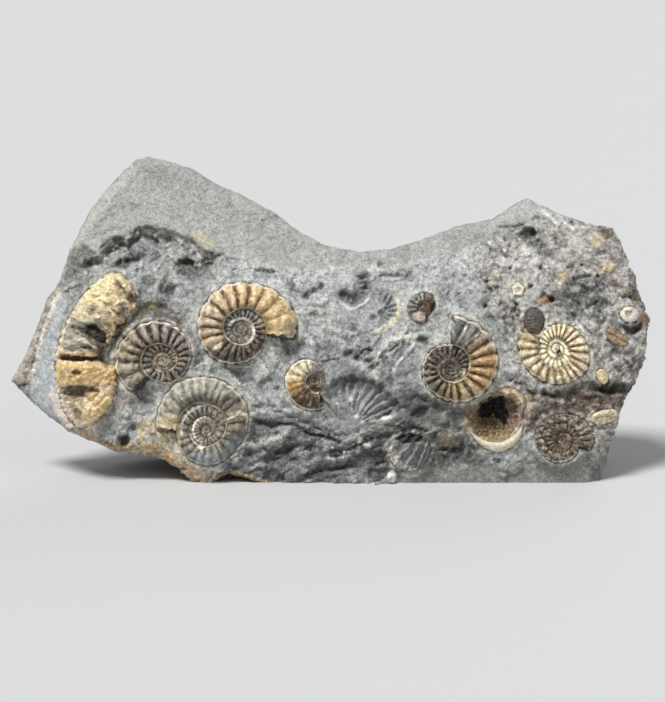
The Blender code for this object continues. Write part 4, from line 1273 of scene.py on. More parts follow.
@dataclass(frozen=True)
class Scrap(Raised):
    """A dome over an outline.

    Attributes:
        outline: Its corners, in photo pixels.
        rounded: Whether its outline is smooth between the corners.
        rag: How far its edge wanders, as a share of its size.
        rings: Faces from its middle to its edge.
        spokes: Faces round it.
    """

    outline: tuple[Pixels, ...] = ()
    rounded: bool = True
    rag: float = 0.08
    rings: int = 16
    spokes: int = 96

    def beyond(self, x: np.ndarray, y: np.ndarray) -> np.ndarray:
        """Distance of each place outside the outline in pixels, below 0 inside it."""
        return self.outside(self.outline, x, y)

    def build(self, material: bpy.types.Material) -> bpy.types.Object:
        """Builds the piece from its finish."""
        bm, column, row = strip_grid(self.spokes + 1, self.rings + 3)
        middle = np.mean(np.array(self.outline), axis=0)
        turn = np.mod(column, self.spokes) / self.spokes
        if self.rounded:
            edge = curve(self.outline, turn, True)
        else:
            closed = np.array((*self.outline, self.outline[0]))
            edge = np.stack([np.interp(turn * len(self.outline), np.arange(len(closed)), closed[:, i])
                             for i in (0, 1)], -1)
        share = np.minimum(row / self.rings, 1.0) ** 0.8
        ragged = 1.0 + self.rag * fractal(edge[:, 0], edge[:, 1], 5.0, 5.0, 3, 0.5)
        edge = middle + (edge - middle) * ragged[:, None]
        place = middle + (edge - middle) * share[:, None]
        arch = np.maximum(0.0, 1.0 - share ** self.square) ** (1.0 / self.square)
        drop = np.array([0.0] * (self.rings + 1) + [mm(0.6), mm(2.0)])[row]
        return self.finish_mesh(bm, place[:, 0], place[:, 1], arch, drop, material)


@dataclass(frozen=True)
class Band(Raised):
    """A rounded band between two lines.

    Attributes:
        inner: One long side, in photo pixels.
        outer: The other long side, from the same end.
        swells: Share of the way along and share of the full height there.
        ends: Share of the length over which its ends fall.
        rag: How far its edges wander, in pixels.
        along: Faces along it.
        across: Faces across it.
    """

    inner: tuple[Pixels, ...] = ()
    outer: tuple[Pixels, ...] = ()
    swells: tuple[Pixels, ...] = ((0.0, 1.0), (1.0, 1.0))
    ends: float = 0.05
    rag: float = 1.0
    along: int = 120
    across: int = 18

    def beyond(self, x: np.ndarray, y: np.ndarray) -> np.ndarray:
        """Distance of each place outside the outline in pixels, below 0 inside it."""
        return self.outside((*self.outer, *reversed(self.inner)), x, y)

    def build(self, material: bpy.types.Material) -> bpy.types.Object:
        """Builds the piece from its finish."""
        bm, column, row = strip_grid(self.along + 3, self.across + 3)
        share = np.clip((column - 1) / self.along, 0.0, 1.0)
        side = np.clip((row - 1) / self.across, 0.0, 1.0)
        side = 0.5 - 0.5 * np.cos(math.pi * side)
        low, high = curve(self.outer, share), curve(self.inner, share)
        place = low + (high - low) * side[:, None]
        edge = (2.0 * np.abs(side - 0.5)) ** 3
        x = place[:, 0] + self.rag * edge * fractal(place[:, 0], place[:, 1], 5.0, 6.0, 3, 0.5)
        y = place[:, 1] + self.rag * edge * fractal(place[:, 0], place[:, 1], 7.0, 6.0, 3, 0.5)
        arch = np.maximum(0.0, 1.0 - np.abs(2.0 * side - 1.0) ** self.square) ** (1.0 / self.square)
        stops, heights = zip(*self.swells)
        bent = share + 0.006 * fractal(x, y, 1.1, 14.0, 2)
        arch = arch * np.interp(bent, stops, heights)
        arch = arch * np.sqrt(smooth(0.0, self.ends, share) * smooth(1.0, 1.0 - self.ends, share))
        edge = (column == 0) | (column == self.along + 2) | (row == 0) | (row == self.across + 2)
        return self.finish_mesh(bm, x, y, arch, np.where(edge, mm(1.8), 0.0), material)


@dataclass(frozen=True)
class CrystalHollow:
    """The hollow whose walls are lined with lumpy crystals.

    Attributes:
        centre: Its middle, in photo pixels.
        outline: Its mouth, in photo pixels.
        depth: Its depth, in millimetres.
        undercut: How far its deepest place lies above the middle, in pixels.
        lump: Size of a crystal lump, in pixels.
        rings: Faces from its middle to its mouth.
        spokes: Faces round it.
    """

    centre: Pixels = (489.0, 417.0)
    outline: tuple[Pixels, ...] = ((468, 420), (471, 405), (479, 397), (491, 391), (505, 392),
                                   (516, 399), (520, 412), (518, 427), (511, 438), (498, 444),
                                   (484, 443), (473, 434))
    depth: float = 7.0
    undercut: float = 6.0
    lump: float = 4.2
    rings: int = 46
    spokes: int = 190

    def bowl(self, share: np.ndarray) -> np.ndarray:
        """Depth at shares of the way from the middle to the mouth, in metres."""
        return mm(self.depth) * (1.0 - share ** 3.0)

    def ceiling(self, x: np.ndarray, y: np.ndarray) -> np.ndarray:
        """Greatest height that the rock may have at each place, in metres."""
        result = np.full(x.shape, 1.0)
        near = near_mark(Patch(self.outline, 6.0), x, y)
        inside = inside_distance(x[near], y[near], self.outline)
        sunk = base_form(x[near], y[near]) - mm(1.0) * np.minimum(inside, 8.6)
        result[near] = np.where(inside > 1.0, sunk, 1.0)
        return result

    def build(self, material: bpy.types.Material) -> bpy.types.Object:
        """Builds the lining from its finish."""
        bm, column, row = strip_grid(self.spokes + 1, self.rings + 1)
        edge = curve(self.outline, np.mod(column, self.spokes) / self.spokes, True)
        share = row / self.rings
        middle = np.array(self.centre) - np.array([0.0, self.undercut]) * (1.0 - share ** 2)[:, None]
        place = middle + (edge - np.array(self.centre)) * (1.06 * share)[:, None]
        x, y = place[:, 0], place[:, 1]
        gap, number = cells(x + 2.0 * fractal(x, y, 2.0, 6.0, 2), y, 4.0, self.lump)
        small, _ = cells(x, y, 9.0, 0.45 * self.lump)
        lumps = mm(1.3) * smooth(0.0, 0.7, gap) + mm(0.35) * smooth(0.0, 0.6, small) + mm(0.5) * number
        w = base_form(x, y) + mm(0.5) - self.bowl(share) + lumps * smooth(1.0, 0.85, share)
        w = np.where(row == self.rings, w - mm(1.5), w)
        move_all(bm, FACE.world(x, y, w))
        colour = blend(np.tile(np.array(shade(140, 116, 84)), (x.size, 1)), shade(190, 166, 128), number)
        # Painted shade in the cracks between the crystal lumps.
        colour = colour * (0.6 + 0.4 * smooth(0.0, 0.35, gap))[..., None]
        wx, wy = x + 3.0 * fractal(x, y, 71.0, 7.0, 4, 0.5), y + 3.0 * fractal(x, y, 73.0, 7.0, 4, 0.5)
        paint(bm, lay(colour, HOLLOW_STROKES, wx, wy))
        bmesh.ops.remove_doubles(bm, verts=bm.verts, dist=WELD)
        bmesh.ops.recalc_face_normals(bm, faces=bm.faces)
        turn_to_viewer(bm)
        return as_piece(bm, "crystal_lining", material, ("crystal_crust",))


HOLLOW = CrystalHollow()
HOLLOW_STROKES = (
    # Near black over the hollow's upper part: painted shadow in its deep, undercut top.
    Stroke(Patch(((476, 411), (483, 403), (491, 398), (502, 395), (508, 399), (505, 406),
                  (508, 417), (504, 425), (498, 419), (490, 415), (480, 417)), 2.0), (7, 6, 5), 1.0, 0.0),
    Stroke(Patch(((476, 419), (484, 416), (500, 421), (500, 426), (478, 425)), 4.0), (92, 70, 48), 0.7, 0.3),
    Stroke(Patch(((505, 400), (526, 402), (526, 431), (508, 428)), 4.0), (140, 116, 104), 0.7, 0.3),
    Stroke(Patch(((466, 398), (480, 398), (472, 420), (474, 436), (464, 430)), 4.0),
           (178, 152, 116), 0.7, 0.3),
)

BANDS = (
    Band("large_whorl", Slot.CREAM, ("large_broken_whorl",), (230, 210, 172), -0.4, 6.6, 2.0, 0.6, 0.4,
         forms=(
             RibFan((135, 362), 22.0, 90.0, 101.0, 176.0, 10, 0.8, 4.0),
             RibFan((135, 362), 22.0, 90.0, 178.0, 236.0, 6, 0.35, 4.0),
             Carve(Patch(((86, 325), (96, 324), (107, 335), (106, 343), (98, 342), (86, 334)), 2.0), -1.7),
             Carve(Line(((72, 326), (84, 331), (92, 337)), 2.4), -1.0),
             Carve(Line(((104, 325), (109, 333), (107, 344), (98, 346)), 3.0), 0.8),
             Carve(Line(((61, 357), (80, 359), (98, 359)), 4.4), -2.2),
             Carve(Line(((64, 345), (80, 343), (97, 348)), 3.0), 0.7),
             Carve(Patch(((60, 387), (76, 385), (92, 386), (97, 391), (86, 397), (70, 397), (60, 394)), 3.0),
                   -1.5),
             Carve(Patch(((60, 398), (84, 399), (82, 413), (66, 413)), 4.0), -0.7),
             Carve(Line(((92, 296), (106, 306), (124, 318)), 3.0), -1.0),
             Carve(Line(((117, 282), (122, 291), (127, 300)), 4.0), -1.2),
             Carve(Oval((131, 300), (4, 6)), -1.2),
             Carve(Oval((76, 373), (5, 3)), -0.9),
         ),
         # The darkest strokes, laid on the pits and grooves carved above, are painted shade in those hollows;
         # the rest are the shell's own stains and calcite.
         strokes=(
             Stroke(Patch(((78, 305), (92, 296), (104, 312), (108, 328), (98, 322), (80, 318)), 4.0),
                    (150, 146, 130), 0.7, 0.55, 6.0),
             Stroke(Patch(((70, 318), (98, 322), (107, 343), (98, 352), (62, 352), (62, 336)), 4.0),
                    (138, 138, 132), 0.85, 0.35, 6.0),
             Stroke(Patch(((114, 278), (121, 282), (128, 292), (124, 294), (117, 287)), 2.0),
                    (92, 94, 88), 0.85, 0.35),
             Stroke(Patch(((118, 303), (127, 302), (129, 312), (124, 318), (118, 314)), 3.0),
                    (96, 98, 94), 0.85, 0.4),
             Stroke(Oval((131, 299), (4, 6)), (70, 54, 38), 0.85, 0.25),
             Stroke(Line(((98, 303), (94, 309), (91, 316)), 3.0), (104, 100, 92), 0.7, 0.4),
             Stroke(Patch(((86, 325), (96, 324), (107, 335), (106, 343), (98, 342), (86, 334)), 2.0),
                    (46, 38, 32), 0.92, 0.2),
             Stroke(Line(((70, 325), (84, 331), (94, 338)), 3.0), (60, 54, 50), 0.85, 0.3),
             Stroke(Line(((78, 318), (96, 321), (107, 328)), 3.0), (196, 190, 172), 0.7, 0.4),
             Stroke(Line(((103, 324), (109, 333), (107, 345), (97, 346)), 2.6), (224, 204, 156), 0.9, 0.2),
             Stroke(Line(((64, 341), (80, 339), (92, 345), (99, 352)), 2.4), (226, 216, 190), 0.8, 0.3),
             Stroke(Patch(((60, 355), (74, 356), (98, 356.5), (99, 361), (80, 361.5), (60, 359.5)), 1.4),
                    (46, 36, 30), 0.95, 0.1),
             Stroke(Oval((64, 357), (7, 4)), (112, 64, 40), 0.8, 0.3),
             Stroke(Patch(((56, 364), (90, 362), (118, 364), (116, 386), (90, 384), (57, 385)), 4.0),
                    (222, 184, 124), 0.8, 0.35, 8.0),
             Stroke(Patch(((58, 369), (70, 367), (72, 381), (58, 383)), 4.0), (150, 136, 104), 0.7, 0.5),
             Stroke(Oval((76, 373), (5, 3)), (60, 50, 40), 0.9, 0.2),
             Stroke(Patch(((60, 387), (76, 385), (92, 386), (100, 389), (96, 398), (72, 398), (60, 395)),
                          2.5), (64, 52, 42), 0.92, 0.25),
             Stroke(Patch(((60, 396), (84, 398), (86, 414), (64, 414)), 4.0), (150, 142, 112), 0.8, 0.4, 6.0),
             Stroke(Patch(((88, 392), (113, 392), (106, 414), (84, 420)), 5.0), (222, 188, 132),
                    0.7, 0.45, 8.0),
             Stroke(Oval((77, 414), (5, 7)), (84, 66, 46), 0.85, 0.3),
             Stroke(Patch(((80, 290), (112, 272), (120, 290), (100, 306), (80, 306)), 6.0), (236, 218, 170),
                    0.7, 0.4, 9.0),
             Stroke(Line(((58, 388), (62, 408), (80, 429)), 7.0), (226, 208, 192), 0.85, 0.35),
             Stroke(Line(((110, 273), (88, 290), (70, 316), (59, 342), (55, 364)), 2.6),
                    (228, 220, 200), 0.7, 0.4),
             *(Stroke(Line(ray((135, 362), 30.0, 72.0, angle), 1.6), (86, 74, 58), 0.6, 0.5)
               for angle in (108, 117, 133, 153, 162, 193, 221)),
             Stroke(Patch(((98, 342), (110, 342), (108, 366), (98, 362)), 3.0), (64, 58, 52), 0.8, 0.3),
         ),
         inner=((121, 273), (132, 286), (135, 304), (127, 318), (115, 330), (110, 343), (101, 350),
                (102, 361), (117, 371), (112, 400), (97, 422)),
         outer=((110, 272), (88, 289), (70, 315), (59, 341), (55, 362), (57, 386), (63, 408), (78, 430)),
         swells=((0.0, 0.6), (0.06, 0.95), (0.13, 1.06), (0.18, 0.9), (0.24, 1.08), (0.31, 1.05),
                 (0.36, 0.84), (0.43, 1.08), (0.48, 1.0), (0.505, 0.86), (0.54, 1.02), (0.575, 0.74),
                 (0.615, 0.72), (0.66, 1.0), (0.73, 1.06), (0.77, 0.92), (0.81, 0.74), (0.86, 0.72),
                 (0.9, 0.88), (0.95, 0.86), (1.0, 0.5)),
         rag=2.4, along=300, across=46, collar=0.1, apron=10.0),
    Band("hollow_lip_lower", Slot.LINING, ("shell_lining_lower",), (214, 206, 180), 0.2, 1.5, 2.0, 0.08, 0.12,
         inner=((470, 430), (476, 435), (487, 441), (499, 442), (511, 437), (519, 429), (523, 423)),
         outer=((470, 430), (474, 439), (485, 448), (499, 452), (513, 446), (521, 436), (523, 423)),
         ends=0.1, rag=0.5),
    Band("hollow_lip_upper", Slot.LINING, ("shell_lining_upper",), (170, 146, 122), 0.3, 1.9, 2.0, 0.5, 0.4,
         forms=(Carve(Line(((508, 392), (518, 399), (522, 408)), 2.0), -0.5),),
         strokes=(Stroke(Line(((503, 391), (516, 393), (526, 408)), 3.0), (214, 204, 176), 0.7, 0.5),
                  Stroke(Oval((513, 398), (7, 4), -30), (120, 94, 70), 0.6, 0.5)),
         inner=((497, 391), (505, 396), (513, 400), (518, 407), (521, 418)),
         outer=((497, 391), (507, 387), (519, 391), (526, 401), (521, 418)), ends=0.1, rag=1.6),
)

SCRAPS = (
    Scrap("pentagon_ossicle", Slot.CRINOID, ("five_sided_ossicle",), (234, 226, 202), 0.3, 1.4,
          4.0, 0.1, 0.15,
          forms=(Carve(Oval((518, 289.5), (2.6, 2.6)), -0.5),),
          strokes=(Stroke(Oval((518, 289.5), (2.8, 2.8)), (150, 136, 110), 0.7),),
          outline=oval((518, 289.5), (7.2, 7.6), 0.0, 5, 90.0), rounded=False),
    Scrap("disc_ossicle", Slot.CRINOID, ("round_ossicle",), (214, 208, 192), 0.4, 1.7, 3.0, 0.12, 0.2,
          forms=(Carve(Oval((629, 314), (3.4, 3.0)), -0.6),),
          strokes=(Stroke(Oval((629, 314), (3.6, 3.2)), (160, 146, 120), 0.7),),
          outline=oval((629.5, 314.5), (9.5, 8.0))),
    Scrap("tan_scrap", Slot.CREAM, ("tan_shell_scrap",), (160, 140, 110), 0.3, 1.9, 3.0, 0.3, 0.35,
          forms=(Carve(Line(((607, 333), (617, 338), (627, 343)), 2.5), -0.6),),
          strokes=(Stroke(Oval((620, 330), (6, 4)), (110, 86, 56), 0.6),),
          outline=((608, 328), (618, 331), (628, 339), (624, 346), (615, 344), (607, 338))),
    Scrap("cream_scrap", Slot.CREAM, ("cream_shell_scrap",), (216, 200, 158), 0.3, 1.4, 2.4, 0.1, 0.2,
          outline=oval((602.5, 376.5), (5.5, 8.0), 20.0)),
    Scrap("cream_block", Slot.CREAM, ("cream_shell_block",), (212, 200, 172), 0.3, 1.9, 4.0, 0.25, 0.3,
          forms=(Carve(Line(((594, 419), (604, 416), (615, 414)), 2.2), -0.5),),
          strokes=(Stroke(Line(((594, 420), (604, 418), (616, 416)), 3.0), (120, 96, 66), 0.6),),
          outline=((592, 415), (603, 410), (616, 410), (616, 419), (606, 424), (594, 424))),
    Scrap("dark_scrap", Slot.DARK, ("dark_shell_scrap",), (84, 80, 76), 0.3, 2.2, 2.2, 0.1, 0.2,
          forms=tuple(Carve(Line(((524, y), (534, y - 1), (544, y + 1)), 1.3), -0.18)
                      for y in range(312, 333, 3)),
          strokes=(Stroke(Line(((524, 314), (524, 326), (532, 333), (541, 331)), 3.0), (112, 84, 56), 0.8),),
          outline=oval((534, 320.5), (10.5, 12.5))),
    Scrap("ribbed_scrap_shell", Slot.GREY, ("ribbed_scrap",), (132, 134, 131), 0.5, 2.8, 2.2, 0.2, 0.3,
          forms=(RibFan((446, 402), 20.0, 84.0, 196.0, 264.0, 8, 1.6, 0.0),
                 Carve(Patch(((396, 437), (409, 432), (422, 435), (424, 441), (410, 443), (398, 444)), 3.0),
                       -1.8)),
          strokes=(Stroke(Line(((388, 446), (392, 455), (396, 464)), 7.0), (228, 222, 206), 0.9, 0.5),
                   Stroke(Line(((398, 463), (406, 469), (418, 472)), 5.0), (222, 218, 206), 0.8, 0.6),
                   # Near black over the sunk patch carved above: painted shadow along the scrap's top edge.
                   Stroke(Patch(((396, 437), (409, 432), (422, 435), (424, 441), (410, 443), (398, 444)),
                                3.0), (34, 32, 30), 0.9, 0.1),
                   *(Stroke(Line(ray((446, 402), 34.0, 78.0, angle), 1.8), (70, 72, 72), 0.7, 0.3)
                     for angle in (222, 231, 239.5, 248))),
          outline=((389, 447), (396, 438), (409, 433), (423, 436), (430, 446), (428, 459),
                   (418, 469), (403, 471), (392, 463)), spokes=150, rings=34),
)


# The rock


# Many of these corners were picked from a list that another program measured on the photo's silhouette
LEFT_SIDE = ((11, 381), (23, 360), (36, 330), (46, 302), (60, 281), (70, 250), (80, 230),
             (92, 207), (115, 180), (135, 160), (147, 157))
TOP_SIDE = ((147, 157), (168, 161), (192, 169), (216, 184), (240, 194), (276, 214), (300, 232), (324, 245),
            (360, 252), (396, 248), (432, 236), (456, 226), (492, 219), (516, 203), (528, 198), (540, 205),
            (564, 216), (588, 224), (612, 228))
RIGHT_SIDE = ((600, 502), (600, 478), (608, 455), (613, 437), (622, 405), (637, 380), (645, 358), (649, 318),
              (641, 298), (632, 270), (620, 240), (612, 228))
LOWER_SIDE = ((11, 381), (42, 411), (70, 432), (91, 440), (117, 452), (140, 453), (166, 460), (182, 474),
              (206, 488), (222, 502), (400, 502), (600, 502))

UPPER_LEDGE = ((78, 262), (99, 255), (104, 248), (116, 239), (127, 242), (133, 236), (139, 227), (147, 226),
               (158, 229), (165, 233), (175, 232), (188, 236), (197, 243), (204, 252), (213, 256), (224, 254))
PLATEAU = ((50, 285), (72, 250), (79, 243), (99, 254), (116, 239), (139, 226), (165, 232),
           (190, 239), (204, 251), (224, 256), (262, 268), (300, 272), (345, 274), (400, 270), (440, 258),
           (470, 250), (500, 228), (520, 224), (534, 220), (540, 190), (400, 150), (100, 140), (30, 260))
SLATE = ((244, 412), (290, 418), (322, 430), (345, 444), (372, 430), (400, 430), (400, 510),
         (190, 510), (216, 470))
RIGHT_THIRD = ((490, 236), (528, 228), (560, 222), (640, 222), (660, 360), (620, 440), (600, 452),
               (530, 440), (470, 400), (520, 388), (500, 320), (478, 276))
LEFT_STRIP = ((62, 290), (68, 300), (58, 330), (54, 370), (56, 400), (70, 432), (40, 410), (30, 386),
              (34, 372), (44, 336))
SLOPE = ((60, 290), (72, 252), (80, 243), (99, 254), (116, 239), (139, 226), (165, 232), (190, 239),
         (204, 251), (224, 254), (210, 270), (190, 280), (172, 262), (158, 252), (136, 262), (112, 270))
FOOT_BAND = ((395, 474), (430, 468), (500, 466), (540, 462), (600, 458), (620, 440), (625, 510), (395, 510))

ROUGHNESS: tuple[tuple[Mark, float], ...] = (
    (Patch(SLATE, 20.0), 0.95),
    (Patch(RIGHT_THIRD, 16.0), 1.0),
    (Patch(((540, 222), (612, 230), (632, 275), (600, 282), (560, 276), (545, 262)), 8.0), 0.5),
    (Patch(((488, 255), (545, 262), (540, 300), (494, 300)), 8.0), 0.55),
    (Patch(SLOPE, 6.0), 0.9),
    (Patch(PLATEAU, 4.0), 0.16),
    (Oval((360, 405), (36, 27)), 0.3),
    (Patch(((302, 280), (330, 272), (400, 270), (408, 300), (400, 334), (330, 320), (302, 306)), 14.0), 0.35),
    (Patch(LEFT_STRIP, 6.0), 0.12),
    (Patch(FOOT_BAND, 12.0), 0.22),
)
REGIONS: tuple[tuple[Mark, Shade], ...] = (
    (Patch(PLATEAU, 5.0), (168, 169, 164)),
    (Patch(((230, 262), (300, 276), (440, 262), (500, 250), (470, 330), (380, 360), (300, 340), (230, 290)),
           16.0),
     (176, 178, 176)),
    (Patch(SLATE, 18.0), (122, 124, 124)),
    (Oval((362, 402), (38, 28)), (156, 158, 156)),
    (Patch(((404, 384), (470, 396), (476, 462), (404, 470), (380, 430)), 16.0), (110, 110, 108)),
    (Patch(RIGHT_THIRD, 18.0), (174, 172, 166)),
    (Patch(((530, 392), (650, 380), (630, 440), (540, 440), (500, 410)), 14.0), (128, 124, 116)),
    (Patch(SLOPE, 7.0), (150, 151, 148)),
    (Patch(LEFT_STRIP, 4.0), (160, 165, 166)),
    (Patch(FOOT_BAND, 12.0), (136, 137, 133)),
)


@dataclass(frozen=True)
class LimestoneBlock:
    """The stone that holds the shells: a slab with a fine front, rough sides and back, and a flat sawn foot.

    Attributes:
        across: Faces of the front from left to right.
        up: Faces of the front from bottom to top.
        coarse: How many front faces one face of the back spans.
        base_thickness: Thickness at the foot, in metres.
        top_thickness: Thickness at the top, in metres.
        tip_thickness: Thickness at the left tip, in metres.
    """

    across: int = 400
    up: int = 192
    coarse: int = 4
    base_thickness: float = 0.046
    top_thickness: float = 0.031
    tip_thickness: float = 0.020

    SIZE_OF_LUMPS = 46.0
    BACK_MIDDLE = (340.0, 350.0)
    FRONT_RINGS = (0.012, 0.04, 0.09)
    # Depths of the rings towards the back: the first, the last and how many
    REAR_RINGS = (0.97, 0.16, 20)
    GROOVE = mm(0.14)
    CLEARANCE, SINK = mm(0.3), mm(1.6)
    # CREST is the pale laid on proud places: painted highlight, partly chalk.
    BARE, CREST, PALE_EDGE = (158, 160, 158), (204, 203, 196), (214, 210, 198)
    WORN_GREY, WORN_BROWN = (164, 163, 157), (134, 127, 113)

    def outline_place(self, s: np.ndarray, t: np.ndarray) -> tuple[np.ndarray, np.ndarray]:
        """Place on the face inside the outline's four sides.

        Args:
            s: Share of the way from the left side to the right.
            t: Share of the way from the lower side to the top.

        Returns:
            Photo x and y.
        """
        low, high = self.side_place(LOWER_SIDE, s), self.side_place(TOP_SIDE, s)
        left, right = self.side_place(LEFT_SIDE, t), self.side_place(RIGHT_SIDE, t)
        corners = (((1 - s) * (1 - t), LOWER_SIDE[0]), (s * (1 - t), LOWER_SIDE[-1]),
                   ((1 - s) * t, TOP_SIDE[0]), (s * t, TOP_SIDE[-1]))
        x, y = ((1 - t) * low[i] + t * high[i] + (1 - s) * left[i] + s * right[i]
                - sum(share * corner[i] for share, corner in corners) for i in (0, 1))
        return x, y

    @staticmethod
    def side_place(points: Sequence[Pixels], share: np.ndarray) -> tuple[np.ndarray, np.ndarray]:
        """Places at shares of a side's length, as photo x and y."""
        run = np.cumsum([0.0] + [math.dist(a, b) for a, b in zip(points, points[1:])])
        at = share * run[-1]
        return tuple(np.interp(at, run, [point[i] for point in points]) for i in (0, 1))

    def relief(self, x: np.ndarray, y: np.ndarray) -> tuple[np.ndarray, np.ndarray, np.ndarray]:
        """Shape of the front.

        Args:
            x: Photo x of each place.
            y: Photo y of each place.

        Returns:
            Its height over the face plane in metres, how proud each place is of its surroundings in
            millimetres,
            and how rough it is from 0 to 1.
        """
        wx = x + 1.4 * fractal(x, y, 1.3, 7.0, 3)
        wy = y + 1.4 * fractal(x, y, 7.7, 7.0, 3)
        rough = np.full(x.shape, 0.7)
        for mark, value in ROUGHNESS:
            rough = rough + (value - rough) * mark.cover(wx, wy)
        slate = Patch(SLATE, 24.0).cover(x, y)
        fx, fy = wx * (1.0 - 0.4 * slate) + 0.25 * slate * wy, wy * (1.0 + 0.15 * slate)
        proud = 1.5 * self.facets(fx, fy, 24.0, 2.0, 0.055) + 1.2 * self.facets(fx, fy, 10.0, 5.0, 0.08)
        proud = proud + 0.8 * fractal(fx, fy, 3.7, 20.0, 4, 0.8) + 0.3 * ridged(fx, fy, 4.4, 13.0, 4)
        proud = rough * (proud + 0.2 * fractal(x, y, 6.1, 4.0, 3, 0.5))
        w = base_form(x, y) + mm(1.0) * proud + mm(0.04) * fractal(x, y, 6.6, 5.0, 3)
        return self.seat_pieces(x, y, w + carve(RELIEF, wx, wy)), proud, rough

    @staticmethod
    def facets(x: np.ndarray, y: np.ndarray, size: float, seed: float, slope: float) -> np.ndarray:
        """Broken faces, each leaning its own way.

        Args:
            x: Photo x of each place.
            y: Photo y of each place.
            size: Size of a face, in pixels.
            seed: Slice of the pattern that is read.
            slope: Steepest lean, in millimetres to the pixel.

        Returns:
            Heights in millimetres.
        """
        rise = np.empty(x.size)
        for index, (a, b) in enumerate(zip((x / size).ravel().tolist(), (y / size).ravel().tolist())):
            _, (near, *_) = noise.voronoi((a, b, seed))
            lean = noise.noise_vector(near * 7.3)
            tilted = size * slope * 2.2 * (lean.x * (a - near.x) + lean.y * (b - near.y))
            rise[index] = tilted + 7.0 * slope * lean.z
        return rise.reshape(x.shape)

    @staticmethod
    def seat_pieces(x: np.ndarray, y: np.ndarray, w: np.ndarray) -> np.ndarray:
        """Brings the rock up to each piece, with a fine groove round it, and keeps it under the piece."""
        for piece in (*SHELLS, *BANDS, *SCRAPS):
            beyond = piece.beyond(x, y)
            level = piece.level(x, y)
            w = w + (level + mm(piece.collar) - w) * smooth(piece.apron, 1.0, beyond)
            w = w - LimestoneBlock.GROOVE * np.exp(-((beyond - 0.6) / 1.0) ** 2)
            floor = level - LimestoneBlock.CLEARANCE - LimestoneBlock.SINK * smooth(0.0, -4.0, beyond)
            w = np.where(beyond < 0.0, np.minimum(w, floor), w)
        return np.minimum(w, HOLLOW.ceiling(x, y))

    def edge_fall(self, s: np.ndarray, t: np.ndarray) -> np.ndarray:
        """How far the front rounds back at the outline, in metres."""
        near = np.minimum(np.minimum(s * 2.2, (1 - s) * 2.2), np.minimum(t * 0.9, (1 - t) * 0.9))
        return mm(3.0) * (1.0 - np.sqrt(np.maximum(0.0, 1.0 - np.maximum(0.0, 1.0 - near / 0.05) ** 2)))

    def places(self, s: np.ndarray, t: np.ndarray,
               depth: np.ndarray) -> tuple[np.ndarray, np.ndarray, np.ndarray]:
        """World places, tints and roughness of the block's vertices.

        Args:
            s: Share across of each vertex.
            t: Share up of each vertex.
            depth: 0 on the front and 1 on the back.

        Returns:
            The places and the colours, one row of three each, and the roughness.
        """
        x, y = self.outline_place(s, t)
        near = smooth(0.06, 0.0, np.minimum(np.minimum(s, 1 - s) * 2.0, np.minimum(t, (1 - t) * 1.5)))
        ragged = near * (0.8 + 2.2 * np.maximum(smooth(560, 620, x), smooth(400, 460, y)))
        x = x + ragged * fractal(x, y, 51.0, 9.0, 4, 0.5)
        y = y + ragged * fractal(x, y, 53.0, 9.0, 4, 0.5)
        front, proud, rough = self.relief(x, y)
        front = front - self.edge_fall(s, t)
        upward = smooth(FACE.ground_y, 170, y)
        thick = self.base_thickness + (self.top_thickness - self.base_thickness) * upward
        thick = thick + (self.tip_thickness - thick) * smooth(150, 10, x)
        lumps = self.lumps(x, y, depth)
        inset = 0.015 * depth + 0.055 * depth ** 4 + 0.012 * lumps * np.sin(math.pi * depth)
        broken = self.facets(x + 90.0 * depth, y + 70.0 * depth, 36.0, 22.0, 0.045)
        broken = broken * smooth(0.0, 0.2, depth) / 300.0
        inset = inset - broken * smooth(1.0, 0.8, depth)
        bx, by = x + (self.BACK_MIDDLE[0] - x) * inset, y + (self.BACK_MIDDLE[1] - y) * inset
        near = np.minimum(np.minimum(s * 2.2, (1 - s) * 2.2), np.minimum(t, 1 - t)) / 0.16
        back = -thick + mm(1.9) * lumps + mm(5.0) * np.maximum(0.0, 1.0 - near) ** 2
        broken = self.facets(x + 40.0 * depth, y - 30.0 * depth, 58.0, 12.0, 0.045)
        broken = broken + self.facets(x + 30.0 * depth, y - 20.0 * depth, 24.0, 15.0, 0.05)
        back = back + mm(1.0) * broken
        w = front + (back - front) * depth
        side = smooth(0.02, 0.2, depth)
        rough = rough + (0.35 - rough) * side
        return FACE.world(bx, by, w), self.tint(x, y, side, proud, rough), rough

    @staticmethod
    def lumps(x: np.ndarray, y: np.ndarray, depth: np.ndarray) -> np.ndarray:
        """Broad random lumps of the sides and back."""
        size = LimestoneBlock.SIZE_OF_LUMPS
        points = zip((x / size).tolist(), (y / size).tolist(), (9.0 + 1.4 * depth).tolist())
        return np.fromiter((noise.fractal(point, 0.9, 2.1, 4) for point in points), float, x.size)

